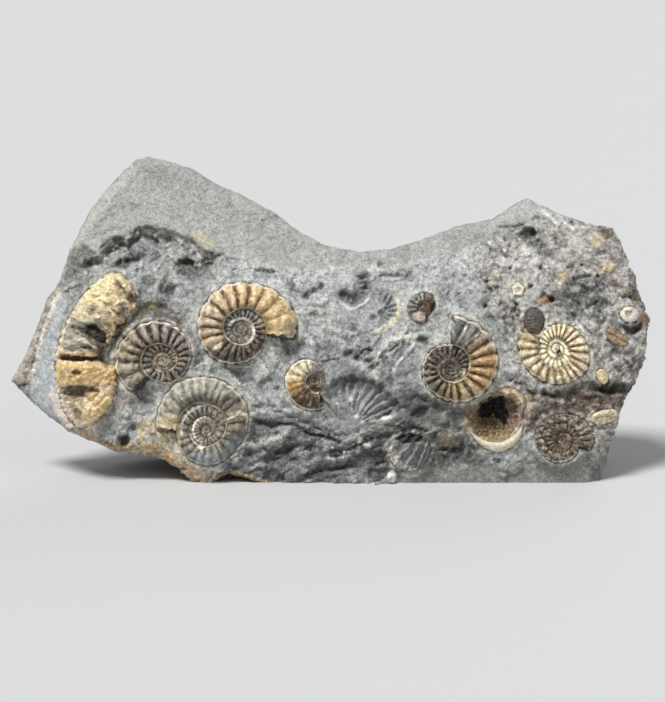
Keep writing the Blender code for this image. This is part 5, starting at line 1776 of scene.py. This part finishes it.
    def tint(self, x: np.ndarray, y: np.ndarray, side: np.ndarray, proud: np.ndarray,
             rough: np.ndarray) -> np.ndarray:
        """Colour of each vertex, in linear light: crests lightened with painted highlight and partly chalk,
        hollows darkened with painted shade, regions and stains.
        """
        colour = np.tile(np.array(shade(*self.BARE)), (x.size, 1))
        wx, wy = x + 2.0 * fractal(x, y, 37.0, 8.0, 3), y + 2.0 * fractal(x, y, 39.0, 8.0, 3)
        for mark, hue in REGIONS:
            colour = blend(colour, shade(*hue), mark.cover(wx, wy))
        colour = colour * (1.0 + 0.12 * fractal(x, y, 31.0, 60.0, 3))[..., None]
        colour = colour * (1.0 + (0.06 + 0.16 * rough) * fractal(x, y, 33.0, 8.0, 4, 0.5))[..., None]
        # Painted shade: hollows darkened by how far they sink below their surroundings.
        colour = colour * (1.0 - 0.42 * smooth(0.0, -0.9, proud))[..., None]
        # Painted highlight on proud places, partly the rock's chalky whitening.
        colour = blend(colour, shade(*self.CREST), 0.55 * smooth(0.15, 0.9, proud) * smooth(0.1, 0.5, rough))
        colour = lay(colour, ROCK_STROKES, wx, wy)
        broken = smooth(-0.3, 0.4, fractal(x, y, 41.0, 7.0, 3))
        for piece in (*SHELLS, *BANDS, *SCRAPS):
            beyond = piece.beyond(x, y)
            pale = 0.75 * broken * np.exp(-((beyond - 2.2) / 2.0) ** 2)
            colour = blend(colour, shade(*self.PALE_EDGE), pale)
            # Painted shade in the fine groove round each piece.
            colour = colour * (1.0 - 0.2 * (1.0 - broken) * np.exp(-((beyond - 0.3) / 0.9) ** 2))[..., None]
        weathered = smooth(-0.25, 0.35, fractal(x, y, 45.0, 46.0, 4))[..., None]
        grey, brown = np.array(shade(*self.WORN_GREY)), np.array(shade(*self.WORN_BROWN))
        surface_tone = (1.0 - weathered) * grey + weathered * brown
        return blend(colour, surface_tone * (1.0 + 0.25 * fractal(x, y, 47.0, 12.0, 4))[..., None], 0.8 * side)

    def build(self, material: bpy.types.Material) -> bpy.types.Object:
        """Builds the stone.

        Args:
            material: Its finish.

        Returns:
            The piece.
        """
        bm = bmesh.new()
        front = self.sheet(bm, self.across, self.up, 0.0)
        loop = self.rim(front)
        for depth in self.FRONT_RINGS:
            loop = self.draw_out(bm, loop, depth)
        back = self.sheet(bm, self.across // self.coarse, self.up // self.coarse, 1.0)
        rear = self.rim(back)
        for depth in np.linspace(*self.REAR_RINGS).tolist():
            rear = self.draw_out(bm, rear, depth)
        bmesh.ops.bridge_loops(bm, edges=loop + rear)
        bm.verts.ensure_lookup_table()
        grid = np.array([vert.co for vert in bm.verts])
        places, tints, rough = self.places(grid[:, 0], grid[:, 1], grid[:, 2])
        move_all(bm, places)
        paint(bm, tints, 0.35 + 0.65 * rough)
        bmesh.ops.recalc_face_normals(bm, faces=bm.faces)
        self.saw_foot(bm)
        return as_piece(bm, "limestone_stone", material, ("limestone_block",))

    @staticmethod
    def sheet(bm: bmesh.types.BMesh, across: int, up: int, depth: float) -> list[bmesh.types.BMFace]:
        """Adds a flat grid over the unit square at a depth, and gives its faces."""
        made = bmesh.ops.create_grid(bm, x_segments=across, y_segments=up, size=0.5)["verts"]
        bmesh.ops.translate(bm, verts=made, vec=(0.5, 0.5, depth))
        return list(dict.fromkeys(face for vert in made for face in vert.link_faces))

    @staticmethod
    def rim(faces: list[bmesh.types.BMFace]) -> list[bmesh.types.BMEdge]:
        """The boundary edges of a sheet."""
        return list(dict.fromkeys(edge for face in faces for edge in face.edges if edge.is_boundary))

    @staticmethod
    def draw_out(bm: bmesh.types.BMesh, loop: list[bmesh.types.BMEdge],
                 depth: float) -> list[bmesh.types.BMEdge]:
        """Extrudes a boundary to a new depth and gives the new boundary."""
        made = bmesh.ops.extrude_edge_only(bm, edges=loop)["geom"]
        for item in made:
            if isinstance(item, bmesh.types.BMVert):
                item.co.z = depth
        return [item for item in made if isinstance(item, bmesh.types.BMEdge) and item.is_boundary]

    @staticmethod
    def saw_foot(bm: bmesh.types.BMesh) -> None:
        """Cuts the stone flat at the ground and closes the cut with a sharp edge."""
        whole = list(bm.verts) + list(bm.edges) + list(bm.faces)
        bmesh.ops.bisect_plane(bm, geom=whole, plane_co=(0, 0, 0), plane_no=(0, 0, 1), clear_inner=True)
        cut = [edge for edge in bm.edges if edge.is_boundary]
        bmesh.ops.holes_fill(bm, edges=cut, sides=0)
        for edge in cut:
            edge.smooth = False


@dataclass(frozen=True)
class Feature:
    """A small form of the rock with a colour laid on it; dark colours on sunk forms are painted shade.

    Attributes:
        mark: Where it is.
        height: How far it stands out, in millimetres; negative is sunk.
        hue: Its colour, if it has one.
        strength: How far that colour hides the rock.
        broken: How far grain breaks the colour up.
    """

    mark: Mark
    height: float = 0.0
    hue: Optional[Shade] = None
    strength: float = 0.8
    broken: float = 0.3


def spot(x: float, y: float, wide: float, high: float, height: float = 0.0, hue: Optional[Shade] = None,
         turn: float = 0.0, strength: float = 0.8, broken: float = 0.3) -> Feature:
    """A small oval form: place and half sizes in pixels, height in millimetres, colour, turn in degrees."""
    return Feature(Oval((x, y), (wide, high), turn), height, hue, strength, broken)


def streak(points: tuple[Pixels, ...], width: float, height: float = 0.0, hue: Optional[Shade] = None,
           strength: float = 0.8, broken: float = 0.3) -> Feature:
    """A small form along a line: points and full width in pixels, height in millimetres, and colour."""
    return Feature(Line(points, width), height, hue, strength, broken)


# The three dark greys on the next line go only on sunk marks: painted shade in pits, cracks and grooves.
BLACK, DIM, CREVICE_SHADE = (36, 34, 32), (78, 78, 76), (58, 56, 54)
PALE, WHITE, CREAM = (206, 205, 198), (232, 229, 219), (216, 200, 162)
BROWN, UMBER, TAN = (122, 96, 70), (84, 62, 48), (166, 142, 108)

# Most sunk marks below carry a darker hue than the rock round them: painted shade in that pit or groove.
FEATURES: tuple[Feature, ...] = (
    # the broken slope under the ledge
    spot(142, 248, 15, 8, 1.7, (140, 142, 140), 5),
    streak(((127, 250), (132, 241), (143, 236), (154, 239), (160, 247)), 4, -1.2, DIM),
    spot(125, 263, 11, 5, -1.8, DIM, 12),
    streak(((131, 270), (145, 260), (163, 249)), 5, 1.3, (184, 186, 184)),
    spot(183.6, 260.4, 6, 4.5, -0.8, (98, 98, 96), 20), spot(182.4, 272.5, 5, 2.6, -0.7, DIM),
    spot(208, 264.7, 6, 2.2, -0.6, DIM, 15),
    spot(149.5, 281, 7, 6, -1.0, (98, 99, 98)), spot(167, 290, 8, 8, -1.5, (110, 112, 112), 0),
    spot(146, 296, 5, 4, -0.6),
    Feature(Patch(((80, 242), (99, 255.6), (101, 263), (85, 270), (64, 282), (70, 253)), 3.0), -0.9,
            (116, 113, 108), 0.8, 0.2),
    streak(((99, 252), (102, 246), (110, 242), (117, 238), (127, 241), (133, 237), (136, 230), (143, 226)),
           2.6, -0.7, CREVICE_SHADE, 0.7),
    streak(((143, 226), (155, 228), (164, 231), (176, 233)), 3.4, -0.6, CREVICE_SHADE, 0.7),
    streak(((187, 236), (196, 243), (204, 251), (214, 257), (224, 254)), 3.0, -0.7, CREVICE_SHADE, 0.7),
    *(streak(((x, y), (x + 7, y - 5), (x + 15, y - 6)), 1.6, -0.35, (140, 141, 138), 0.5)
      for x, y in ((90, 232), (94, 226), (92, 239), (101, 221), (104, 234), (98, 216))),
    streak(((138, 162), (112, 190), (92, 217), (72, 252)), 7.0, -1.2, (192, 190, 180), 0.5),
    spot(203, 239, 12, 8, 0.0, (206, 198, 160), -35, 0.6, 0.5),
    # round the left shells
    Feature(Patch(((128, 322), (133, 308), (150, 302), (166, 306), (178, 316), (186, 330), (165, 322),
                   (146, 322)), 6.0),
            -1.2, (88, 78, 60), 0.75, 0.4),
    spot(150, 305, 8, 4, 0.5, (150, 134, 92), 0, 0.7, 0.5),
    Feature(Patch(((116, 315), (128, 316), (126, 343), (114, 342)), 4.0), -1.0, (74, 64, 54), 0.85, 0.3),
    streak(((51, 390), (56, 407), (67, 423), (78, 433), (97, 424)), 6.0, 1.4, (224, 208, 190), 0.85, 0.25),
    streak(((122, 327), (129, 329), (135, 333)), 3.0, 0.8, CREAM), spot(117, 355, 4, 4, 0.8, CREAM),
    spot(141, 388, 8, 5, 0.8, (128, 122, 114)), spot(107, 417, 9, 7, 0.4, (160, 160, 154)),
    Feature(Patch(((113, 387), (135, 390), (134, 410), (114, 408)), 5.0), 0.0, (150, 138, 130), 0.6, 0.4),
    spot(111, 444, 8, 8, 0.8, (180, 174, 160)),
    *(streak(((x, 438), (x - 2, 451)), 1.4, -0.4, DIM, 0.6) for x in (105, 109, 113, 117)),
    spot(124, 441, 6, 6, -2.2, CREVICE_SHADE), streak(((18, 386), (29, 384)), 2.0, -0.5, DIM),
    streak(((60, 291), (48, 320), (38, 350), (31, 382)), 2.6, 0.5, (226, 222, 212), 0.9, 0.15),
    streak(((70, 428), (91, 438), (117, 450), (135, 446), (150, 450), (176, 464), (206, 486)), 8.0, 0.6,
           (196, 160, 112), 0.8, 0.6),
    # lower right of the lower shell
    spot(210, 461, 8, 5, 0.7, (186, 194, 198), 10), spot(218, 470, 6, 3, 0.4, WHITE, 0, 0.6, 0.5),
    streak(((245, 430), (244, 443), (240, 456), (232, 466)), 2.0, 0.6, PALE, 0.6),
    # Dark over this deep notch at the foot: painted shadow under the overhanging rock.
    Feature(Patch(((208, 490), (220, 478), (229, 473), (244, 478), (262, 484), (282, 490)), 3.0), -5.0,
            (60, 54, 48), 0.9, 0.1),
    streak(((228, 471), (244, 476), (262, 482), (280, 486)), 4.0, 0.6, (196, 166, 116), 0.7, 0.4),
    # the ribbed fragments and moulds above the middle
    spot(306.5, 295.5, 3.6, 4.6, -1.0, DIM, -25), spot(314, 291.5, 2.8, 4.0, -1.0, DIM, -25),
    spot(320.8, 287, 3.0, 3.6, -1.0, DIM, -25),
    spot(320, 299.5, 8, 5, 0.5, (196, 198, 196), -30, 0.7, 0.2),
    streak(((311, 302), (320, 304), (328, 297)), 4.0, 0.8, (204, 205, 200)),
    Feature(Line(((340, 290), (344, 297.5), (352, 300), (359, 296), (364, 288), (364, 280), (358, 276)),
                 10.0), -1.9, (92, 92, 90), 0.8, 0.15),
    streak(((341, 291), (345, 297), (352, 299)), 4.0, -0.5, CREVICE_SHADE, 0.6),
    streak(((356, 276), (364, 279), (367, 286)), 3.0, -0.5, CREVICE_SHADE, 0.6),
    spot(348.6, 287, 6, 7, 1.2, (182, 184, 182)),
    *(streak(points, 2.0, 0.7, (168, 169, 166), 0.6)
      for points in (((358, 281), (367, 279)), ((358, 286), (369, 284)), ((358, 291), (368, 292)),
                     ((347, 296), (344, 302)), ((350, 297), (351, 303)))),
    streak(((337.4, 292), (341, 302.5), (350, 308), (358.6, 307), (366, 301.5), (370, 294)), 1.8, 0.4,
           (224, 224, 218)),
    streak(((380, 275), (390, 274.5), (401, 276)), 2.2, -0.7, DIM),
    streak(((381, 279), (391.8, 281), (402, 278)), 1.8, 0.5, PALE),
    spot(380.3, 264.6, 3, 2.4, -0.4, DIM), spot(380.3, 264.6, 1.2, 1.0, 0.3, (160, 160, 156)),
    streak(((325, 263), (335, 267), (346, 268)), 1.5, 0.2, WHITE, 0.7),
    Feature(Line(ring((379, 311), 13.0, -95.0, 95.0), 11.0), -0.7, (138, 140, 138), 0.6, 0.2),
    streak(((397, 298), (400, 305), (397, 317), (389, 326), (376, 333)), 5.0, 0.8,
           (230, 220, 192), 0.85, 0.4),
    spot(373, 317.5, 3, 2.4, -0.6, DIM, 30), spot(380.5, 313, 2.5, 3.5, -0.9, DIM),
    spot(385, 309, 2.5, 2, -0.6, DIM),
    streak(((307, 313), (314, 310), (321, 315), (326, 323), (323, 330)), 3.0, 0.5, (188, 172, 164), 0.7, 0.4),
    streak(((413.5, 336.6), (413.5, 346.8), (400.7, 359.6), (394.3, 369.8), (394.3, 378)), 2.2, 0.5,
           (232, 230, 222), 0.95, 0.1),
    streak(((382, 349), (376, 360), (375, 374), (379, 382)), 2.0, 0.4, (226, 224, 214), 0.9, 0.15),
    streak(((382, 349), (390.5, 342), (403, 338), (421, 335.4)), 4.0, 0.9, (222, 216, 202), 0.85, 0.3),
    streak(((388, 351), (394, 348), (399, 345)), 2.2, -0.9, BLACK, 0.7),
    spot(404, 348, 8, 6, 0.9, (150, 150, 146), 30),
    spot(405, 366, 9, 8, 0.7, (142, 144, 142), 30), spot(385, 372, 7, 7, 0.6, (136, 138, 136)),
    spot(423, 340, 6, 4, -1.2, CREVICE_SHADE),
    *(spot(x, y, 5, 3, -1.2, DIM, turn) for x, y, turn in ((348, 353, 10), (358, 358, -20), (369, 361, 0),
                                                           (366, 352, 20), (374, 366, 30))),
    streak(((316.5, 362), (328, 361), (341, 358)), 2.2, -0.8, CREVICE_SHADE, 0.7),
    Feature(Patch(((318, 364), (343, 360), (368, 372), (350, 377), (330, 383)), 5.0), 0.5,
            (136, 137, 134), 0.6, 0.2),
    # the ribbed mould in the middle
    streak(((322, 398), (329, 386), (339, 380), (352, 377.5), (369, 380), (382, 388), (392, 398), (400, 410)),
           4.5, -0.6, CREVICE_SHADE, 0.75, 0.15),
    *(spot(x, y, a, b, 0.5, WHITE, turn, 0.95, 0.15)
      for x, y, a, b, turn in ((351, 399, 1.6, 4, 10), (364, 408, 1.6, 3, 40), (357, 417, 2.2, 2.6, 0),
                               (372, 420, 3.4, 3, 0), (360, 440, 2.6, 4, -35), (367, 445, 4, 2.4, -30),
                               (338, 406, 1.6, 2.4, 0), (363, 423, 1.6, 2, 0), (386, 417, 7, 1.6, 5))),
    # slate under the middle
    spot(264, 418, 14, 6, 0.9, (104, 106, 106), -8),
    streak(((250, 413), (262, 410), (276, 414)), 1.6, 0.3, PALE, 0.6),
    streak(((250, 417), (268, 425), (280, 423.5), (296, 425), (302, 432)), 2.6, -0.9, CREVICE_SHADE, 0.7),
    spot(288, 431, 10, 5, 1.2, (150, 151, 148), -8),
    streak(((264, 447), (274, 439), (285, 436)), 5.0, 1.3, (196, 196, 190), 0.8, 0.4),
    spot(285, 449, 11, 3.6, -1.6, CREVICE_SHADE, 15),
    streak(((302, 431), (316, 436), (330, 438), (343, 443)), 4.0, -1.2, CREVICE_SHADE, 0.7),
    spot(336, 455, 8, 4.5, -0.8, (120, 122, 122)),
    streak(((329, 452), (337, 449.5), (343, 453)), 2.2, -0.9, BLACK, 0.7),
    streak(((327.5, 455), (329, 458), (334, 458)), 1.4, 0.3, WHITE),
    streak(((344, 452), (343, 457)), 1.4, 0.3, WHITE),
    spot(288, 468, 15, 8, 1.1, (132, 134, 130), -5),
    streak(((300, 476), (320, 471), (342, 468), (350, 462)), 2.4, -0.9, CREVICE_SHADE, 0.6),
    spot(345, 478, 22, 7, 0.8, (136, 138, 132), 4, 0.6),
    Feature(Patch(((372, 428), (393, 430), (394, 446), (373, 450)), 3.0), 0.4, (104, 106, 106), 0.7, 0.2),
    streak(((375, 465), (384, 461.5), (392, 465)), 3.0, -1.3, BLACK, 0.7),
    spot(392, 477, 4.6, 6, 1.3, WHITE, 0, 0.95, 0.2),
    streak(((388, 445), (393, 452), (400, 460), (408, 470)), 5.0, 0.6, (228, 222, 208), 0.9, 0.45),
    streak(((405, 475.5), (418, 475)), 2.4, 0.3, WHITE), spot(371.7, 485, 2, 2, 0.3, WHITE),
    # Black over the sunk strip along the ribbed scrap's top: painted shadow in that hollow.
    Feature(Patch(((394, 434), (412, 426), (430, 430), (422, 436), (404, 440)), 3.0), -1.8, BLACK, 0.75, 0.1),
    # beside the hollow
    spot(449, 438, 12, 8, 1.4, (112, 96, 76), 10, 0.8, 0.5), spot(449, 449, 14, 3, -1.2, CREVICE_SHADE, 0),
    spot(470, 455, 8.5, 7.5, 1.2, (128, 124, 116)), spot(470, 455, 3.5, 3, -0.5, DIM),
    streak(ring((470, 455), 7.0, 0, 330), 1.6, -0.4, DIM, 0.6),
    *(spot(x, y, a, b, 1.0, (172, 168, 156), 0, 0.6, 0.5)
      for x, y, a, b in ((504, 467, 5, 4), (514, 471, 5, 4), (503, 475, 4, 3), (520, 466, 3, 3))),
    *(spot(x, y, a, b, 1.3, hue, 0, 0.75, 0.3)
      for x, y, a, b, hue in ((523, 420, 5, 6, (150, 124, 108)), (530, 409, 5, 4, (170, 146, 118)),
                              (532, 424, 4, 5, (120, 96, 84)), (466, 425, 3.5, 9, TAN),
                              (468, 408, 3.5, 6, (146, 124, 96)), (528, 398, 5, 3, (176, 150, 116)))),
    streak(((462, 402), (468, 392), (480, 386), (496, 384)), 6.0, 1.0),
    streak(((408, 400), (418, 396), (428, 402)), 3.0, -0.8, CREVICE_SHADE, 0.6),
    spot(420, 412, 9, 5, -1.0, CREVICE_SHADE, 20), spot(440, 420, 8, 5, 0.8, (110, 110, 108)),
    spot(404, 420, 6, 8, 0.6, (118, 118, 116), 20),
    # the right third
    Feature(Patch(((489, 223.5), (510, 205.6), (525, 199), (532, 198), (540, 208), (538, 215.7), (529, 221),
                   (516.8, 225), (498, 226)), 2.5),
            0.35, (174, 176, 171), 0.8, 0.1),
    streak(((497, 227), (516, 226.5), (530, 222), (538, 217)), 1.4, -0.4, (120, 116, 106), 0.6),
    streak(((541, 210), (550, 216), (562, 225)), 5.0, 0.6, (206, 206, 198), 0.7),
    spot(529, 233.5, 8, 5.5, -2.0, (88, 86, 82), 0, 0.9, 0.1), spot(533, 232, 3, 3, -0.8, BLACK),
    streak(((531, 240), (542, 249), (551, 258)), 9.0, -1.1, (112, 114, 114), 0.8, 0.2),
    spot(606, 234, 8, 6, -1.1, (94, 72, 54), 0, 0.85, 0.25),
    spot(597, 240, 7, 8, 0.8, (222, 202, 166), 0, 0.8, 0.45),
    spot(607, 267, 8, 6, 0.8, (226, 206, 170), 20, 0.8, 0.45),
    spot(563, 276, 5, 8, 0.8, (206, 180, 142), 10, 0.75, 0.5),
    spot(529.5, 286.5, 3, 2.6, -1.6, BLACK), spot(546, 299.5, 9, 4.4, -0.9, (156, 124, 82), 0, 0.85, 0.35),
    spot(551, 299, 4, 3.2, -0.9, BLACK),
    Feature(Patch(((566, 282), (600, 276), (610, 300), (600, 318), (572, 320), (560, 300)), 8.0), -0.6,
            (96, 97, 96), 0.75, 0.4),
    streak(((608, 277), (620, 284), (633, 292), (641, 302)), 7.0, 0.3, (146, 122, 92), 0.75, 0.45),
    streak(((546, 211), (551, 219), (560, 226)), 1.8, 0.2, WHITE),
    streak(((557, 214), (564, 223), (575, 230)), 2.0, 0.2, WHITE),
    streak(((571, 280), (585, 276), (592, 276)), 3.0, -1.2, BLACK, 0.6),
    streak(((590, 296), (598, 293), (606, 298)), 2.0, 0.5, PALE, 0.7),
    *(spot(x, y, 2.0, 1.7, -0.9, BLACK, 0, 0.8, 0.1)
      for x, y in ((491, 289), (485.6, 305), (515.7, 304), (581.6, 265), (598.3, 276), (568, 267), (486, 282),
                   (497, 287), (575, 330), (590, 345), (612, 360), (584, 362), (600, 390), (556, 404),
                   (547, 412), (590, 421), (510, 268), (541, 268))),
    streak(((618, 279), (630, 285), (639, 293)), 8.0, 0.8, (176, 180, 178), 0.7, 0.2),
    Feature(Patch(((611, 311), (622, 312), (626, 329), (616, 331), (610, 322)), 4.0), 0.8,
            (118, 121, 122), 0.8, 0.1),
    Feature(Patch(((622, 326), (640, 320), (644, 328), (632, 336), (626, 334)), 2.5), -1.8, BLACK, 0.8, 0.1),
    spot(644.5, 318, 4, 9, 1.0, (146, 112, 78), 0, 0.8, 0.3), spot(633, 285, 5, 8, 0.6, BROWN, 30, 0.6, 0.5),
    *(spot(x, y, a, b, 0.8, hue, turn, 0.7, 0.4)
      for x, y, a, b, hue, turn in ((576, 290, 5, 3, PALE, 10), (590, 312, 6, 3, PALE, -20),
                                    (600, 330, 4, 3, PALE, 0), (633, 345, 5, 4, PALE, 30),
                                    (618, 362, 6, 4, PALE, 0), (590, 352, 4, 3, CREAM, 0),
                                    (640, 352, 3, 5, (180, 170, 150), 0), (500, 263, 6, 3, PALE, -20),
                                    (520, 268, 5, 3, (200, 184, 170), 0), (536, 262, 5, 4, PALE, 0),
                                    (545, 281, 4, 4, (190, 182, 186), 0), (496, 275, 5, 3, CREAM, -30),
                                    (512, 400, 4, 3, PALE, 0))),
    # Dark brown over the deep recess: painted shade in it, over the rock's own brown.
    spot(611, 388, 20, 6, -2.4, (50, 42, 36), -4, 0.85, 0.2), spot(596, 400, 14, 4, -0.8, UMBER, -6),
    spot(570, 412, 10, 4, -0.8, UMBER, 8),
    streak(((540, 392), (556, 396), (570, 392)), 4.0, -1.0, (72, 66, 60), 0.7),
    spot(586, 392, 7, 4, 0.9, (160, 140, 116), 0, 0.6),
    streak(((586, 424), (600, 428), (612, 424)), 3.0, -1.0, CREVICE_SHADE, 0.6),
    spot(600, 436, 7, 5, 0.7, (150, 140, 126), 0, 0.6),
)

RELIEF: tuple[Form, ...] = (
    Ledge(UPPER_LEDGE, 3.0, 46.0, 4.0),
    Ledge(((322, 400), (327, 387), (338, 381), (353, 378), (371, 382), (382, 390), (393, 401), (401, 414)),
          2.2, 40.0, 3.0),
    RibFan((352, 427), 10.0, 52.0, 18.0, 150.0, 11, 1.6, 8.0),
    RibFan((356, 428), 9.0, 22.0, -80.0, 10.0, 5, 1.0, 0.0),
    RibFan((379, 311), 7.0, 19.0, -100.0, 95.0, 9, 1.1, 0.0),
    RibFan((206, 430), 36.0, 52.0, -60.0, 5.0, 5, 0.8, 0.0),
    *(Carve(feature.mark, feature.height) for feature in FEATURES if feature.height),
)

ROCK_STROKES: tuple[Stroke, ...] = (
    Stroke(Patch(RIGHT_THIRD, 16.0), (96, 90, 84), 0.5, 0.74, 10.0),
    Stroke(Patch(RIGHT_THIRD, 16.0), (212, 208, 198), 0.55, 0.85, 6.0),
    Stroke(Patch(((502, 246), (547, 246), (556, 262), (546, 278), (504, 276), (496, 262)), 10.0),
           (208, 204, 202), 0.7, 0.6, 6.0),
    Stroke(Patch(((560, 386), (640, 380), (620, 410), (572, 424), (536, 412)), 10.0), (92, 70, 58),
           0.6, 0.6, 7.0),
    Stroke(Patch(((230, 255), (300, 268), (400, 262), (490, 240), (480, 275), (300, 290), (230, 276)), 12.0),
           (198, 200, 198), 0.6, 0.6, 7.0),
    Stroke(Patch(((56, 286), (63, 290), (42, 346), (34, 382), (24, 384), (12, 381), (34, 332)), 3.0),
           (186, 179, 164), 0.85, 0.2),
    Stroke(Line(((51, 305), (43, 330), (36, 352), (29, 368), (27, 382)), 7.0), (118, 100, 84),
           0.75, 0.6, 6.0),
    Stroke(Patch(LEFT_STRIP, 4.0), (196, 200, 200), 0.6, 0.6, 9.0),
    Stroke(Patch(((135, 420), (160, 414), (176, 440), (206, 470), (230, 476), (208, 488), (176, 462),
                  (140, 450)), 6.0),
           (206, 190, 156), 0.8, 0.5, 9.0),
    Stroke(Oval((180, 404), (40, 18), 20), (206, 206, 198), 0.5, 0.65, 8.0),
    *(Stroke(feature.mark, feature.hue, feature.strength, feature.broken)
      for feature in FEATURES if feature.hue),
)


@dataclass(frozen=True)
class Studio:
    """A pale floor, soft lights and the camera at the photograph's viewing angle.

    Attributes:
        frame: Width and height of the photograph, in pixels.
    """

    frame: tuple[int, int] = (665, 702)

    def build(self) -> None:
        """Builds the floor, the lights, the world and the camera."""
        self.floor()
        self.light("key", (-0.32, -0.46, 0.86), 18.0, 3.2)
        self.light("fill", (0.75, -0.6, 0.35), 60.0, 0.35)
        self.light("back", (0.4, 0.8, 0.45), 40.0, 0.5)
        world = bpy.data.worlds.new("studio")
        world.use_nodes = True
        world.node_tree.nodes["Background"].inputs["Color"].default_value = (0.92, 0.94, 0.97, 1.0)
        world.node_tree.nodes["Background"].inputs["Strength"].default_value = 0.27
        bpy.context.scene.world = world
        bpy.context.scene.view_settings.view_transform = "Standard"
        self.camera()

    def floor(self) -> None:
        """Lays the floor."""
        bm = bmesh.new()
        bmesh.ops.create_grid(bm, x_segments=1, y_segments=1, size=10.0)
        mesh = bpy.data.meshes.new("floor")
        bm.to_mesh(mesh)
        bm.free()
        material = bpy.data.materials.new("floor")
        material.use_nodes = True
        shader = material.node_tree.nodes["Principled BSDF"]
        shader.inputs["Base Color"].default_value = (0.6, 0.6, 0.6, 1.0)
        shader.inputs["Roughness"].default_value = 0.9
        mesh.materials.append(material)
        item = bpy.data.objects.new("floor", mesh)
        bpy.context.scene.collection.objects.link(item)

    @staticmethod
    def light(name: str, source: tuple[float, float, float], spread: float, power: float) -> None:
        """Adds a soft light from far off, in the direction of source, spread over an angle in degrees."""
        data = bpy.data.lights.new(name, "SUN")
        data.angle = math.radians(spread)
        data.energy = power
        item = bpy.data.objects.new(name, data)
        item.location = source
        item.rotation_euler = (-Vector(source)).to_track_quat("-Z", "Y").to_euler()
        bpy.context.scene.collection.objects.link(item)

    def camera(self) -> None:
        """Sets the camera square to the leaning face, framed as the photograph is."""
        width, height = self.frame
        target = Vector(FACE.world(np.array(width / 2), np.array(height / 2), np.array(0.0)).tolist())
        data = bpy.data.cameras.new("camera")
        data.sensor_width = 36.0
        data.lens = data.sensor_width * FACE.distance / (max(width, height) * FACE.pixel)
        item = bpy.data.objects.new("camera", data)
        item.location = target + FACE.outward * FACE.distance
        item.rotation_euler = (-FACE.outward).to_track_quat("-Z", "Y").to_euler()
        bpy.context.scene.collection.objects.link(item)
        bpy.context.scene.camera = item


def main() -> None:
    """Builds every piece in order; each piece's triangle count is logged as it is made."""
    logging.basicConfig(level=logging.INFO, format="%(message)s")
    noise.seed_set(NOISE_SEED)
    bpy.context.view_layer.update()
    finishes = {slot: finish.make() for slot, finish in FINISHES.items()}
    LimestoneBlock().build(finishes[Slot.LIMESTONE])
    for piece in (*SHELLS, *BANDS, *SCRAPS):
        piece.build(finishes[piece.slot])
    HOLLOW.build(finishes[Slot.CRYSTAL])
    Studio().build()
    bpy.context.view_layer.update()


if __name__ == "__main__":
    main()
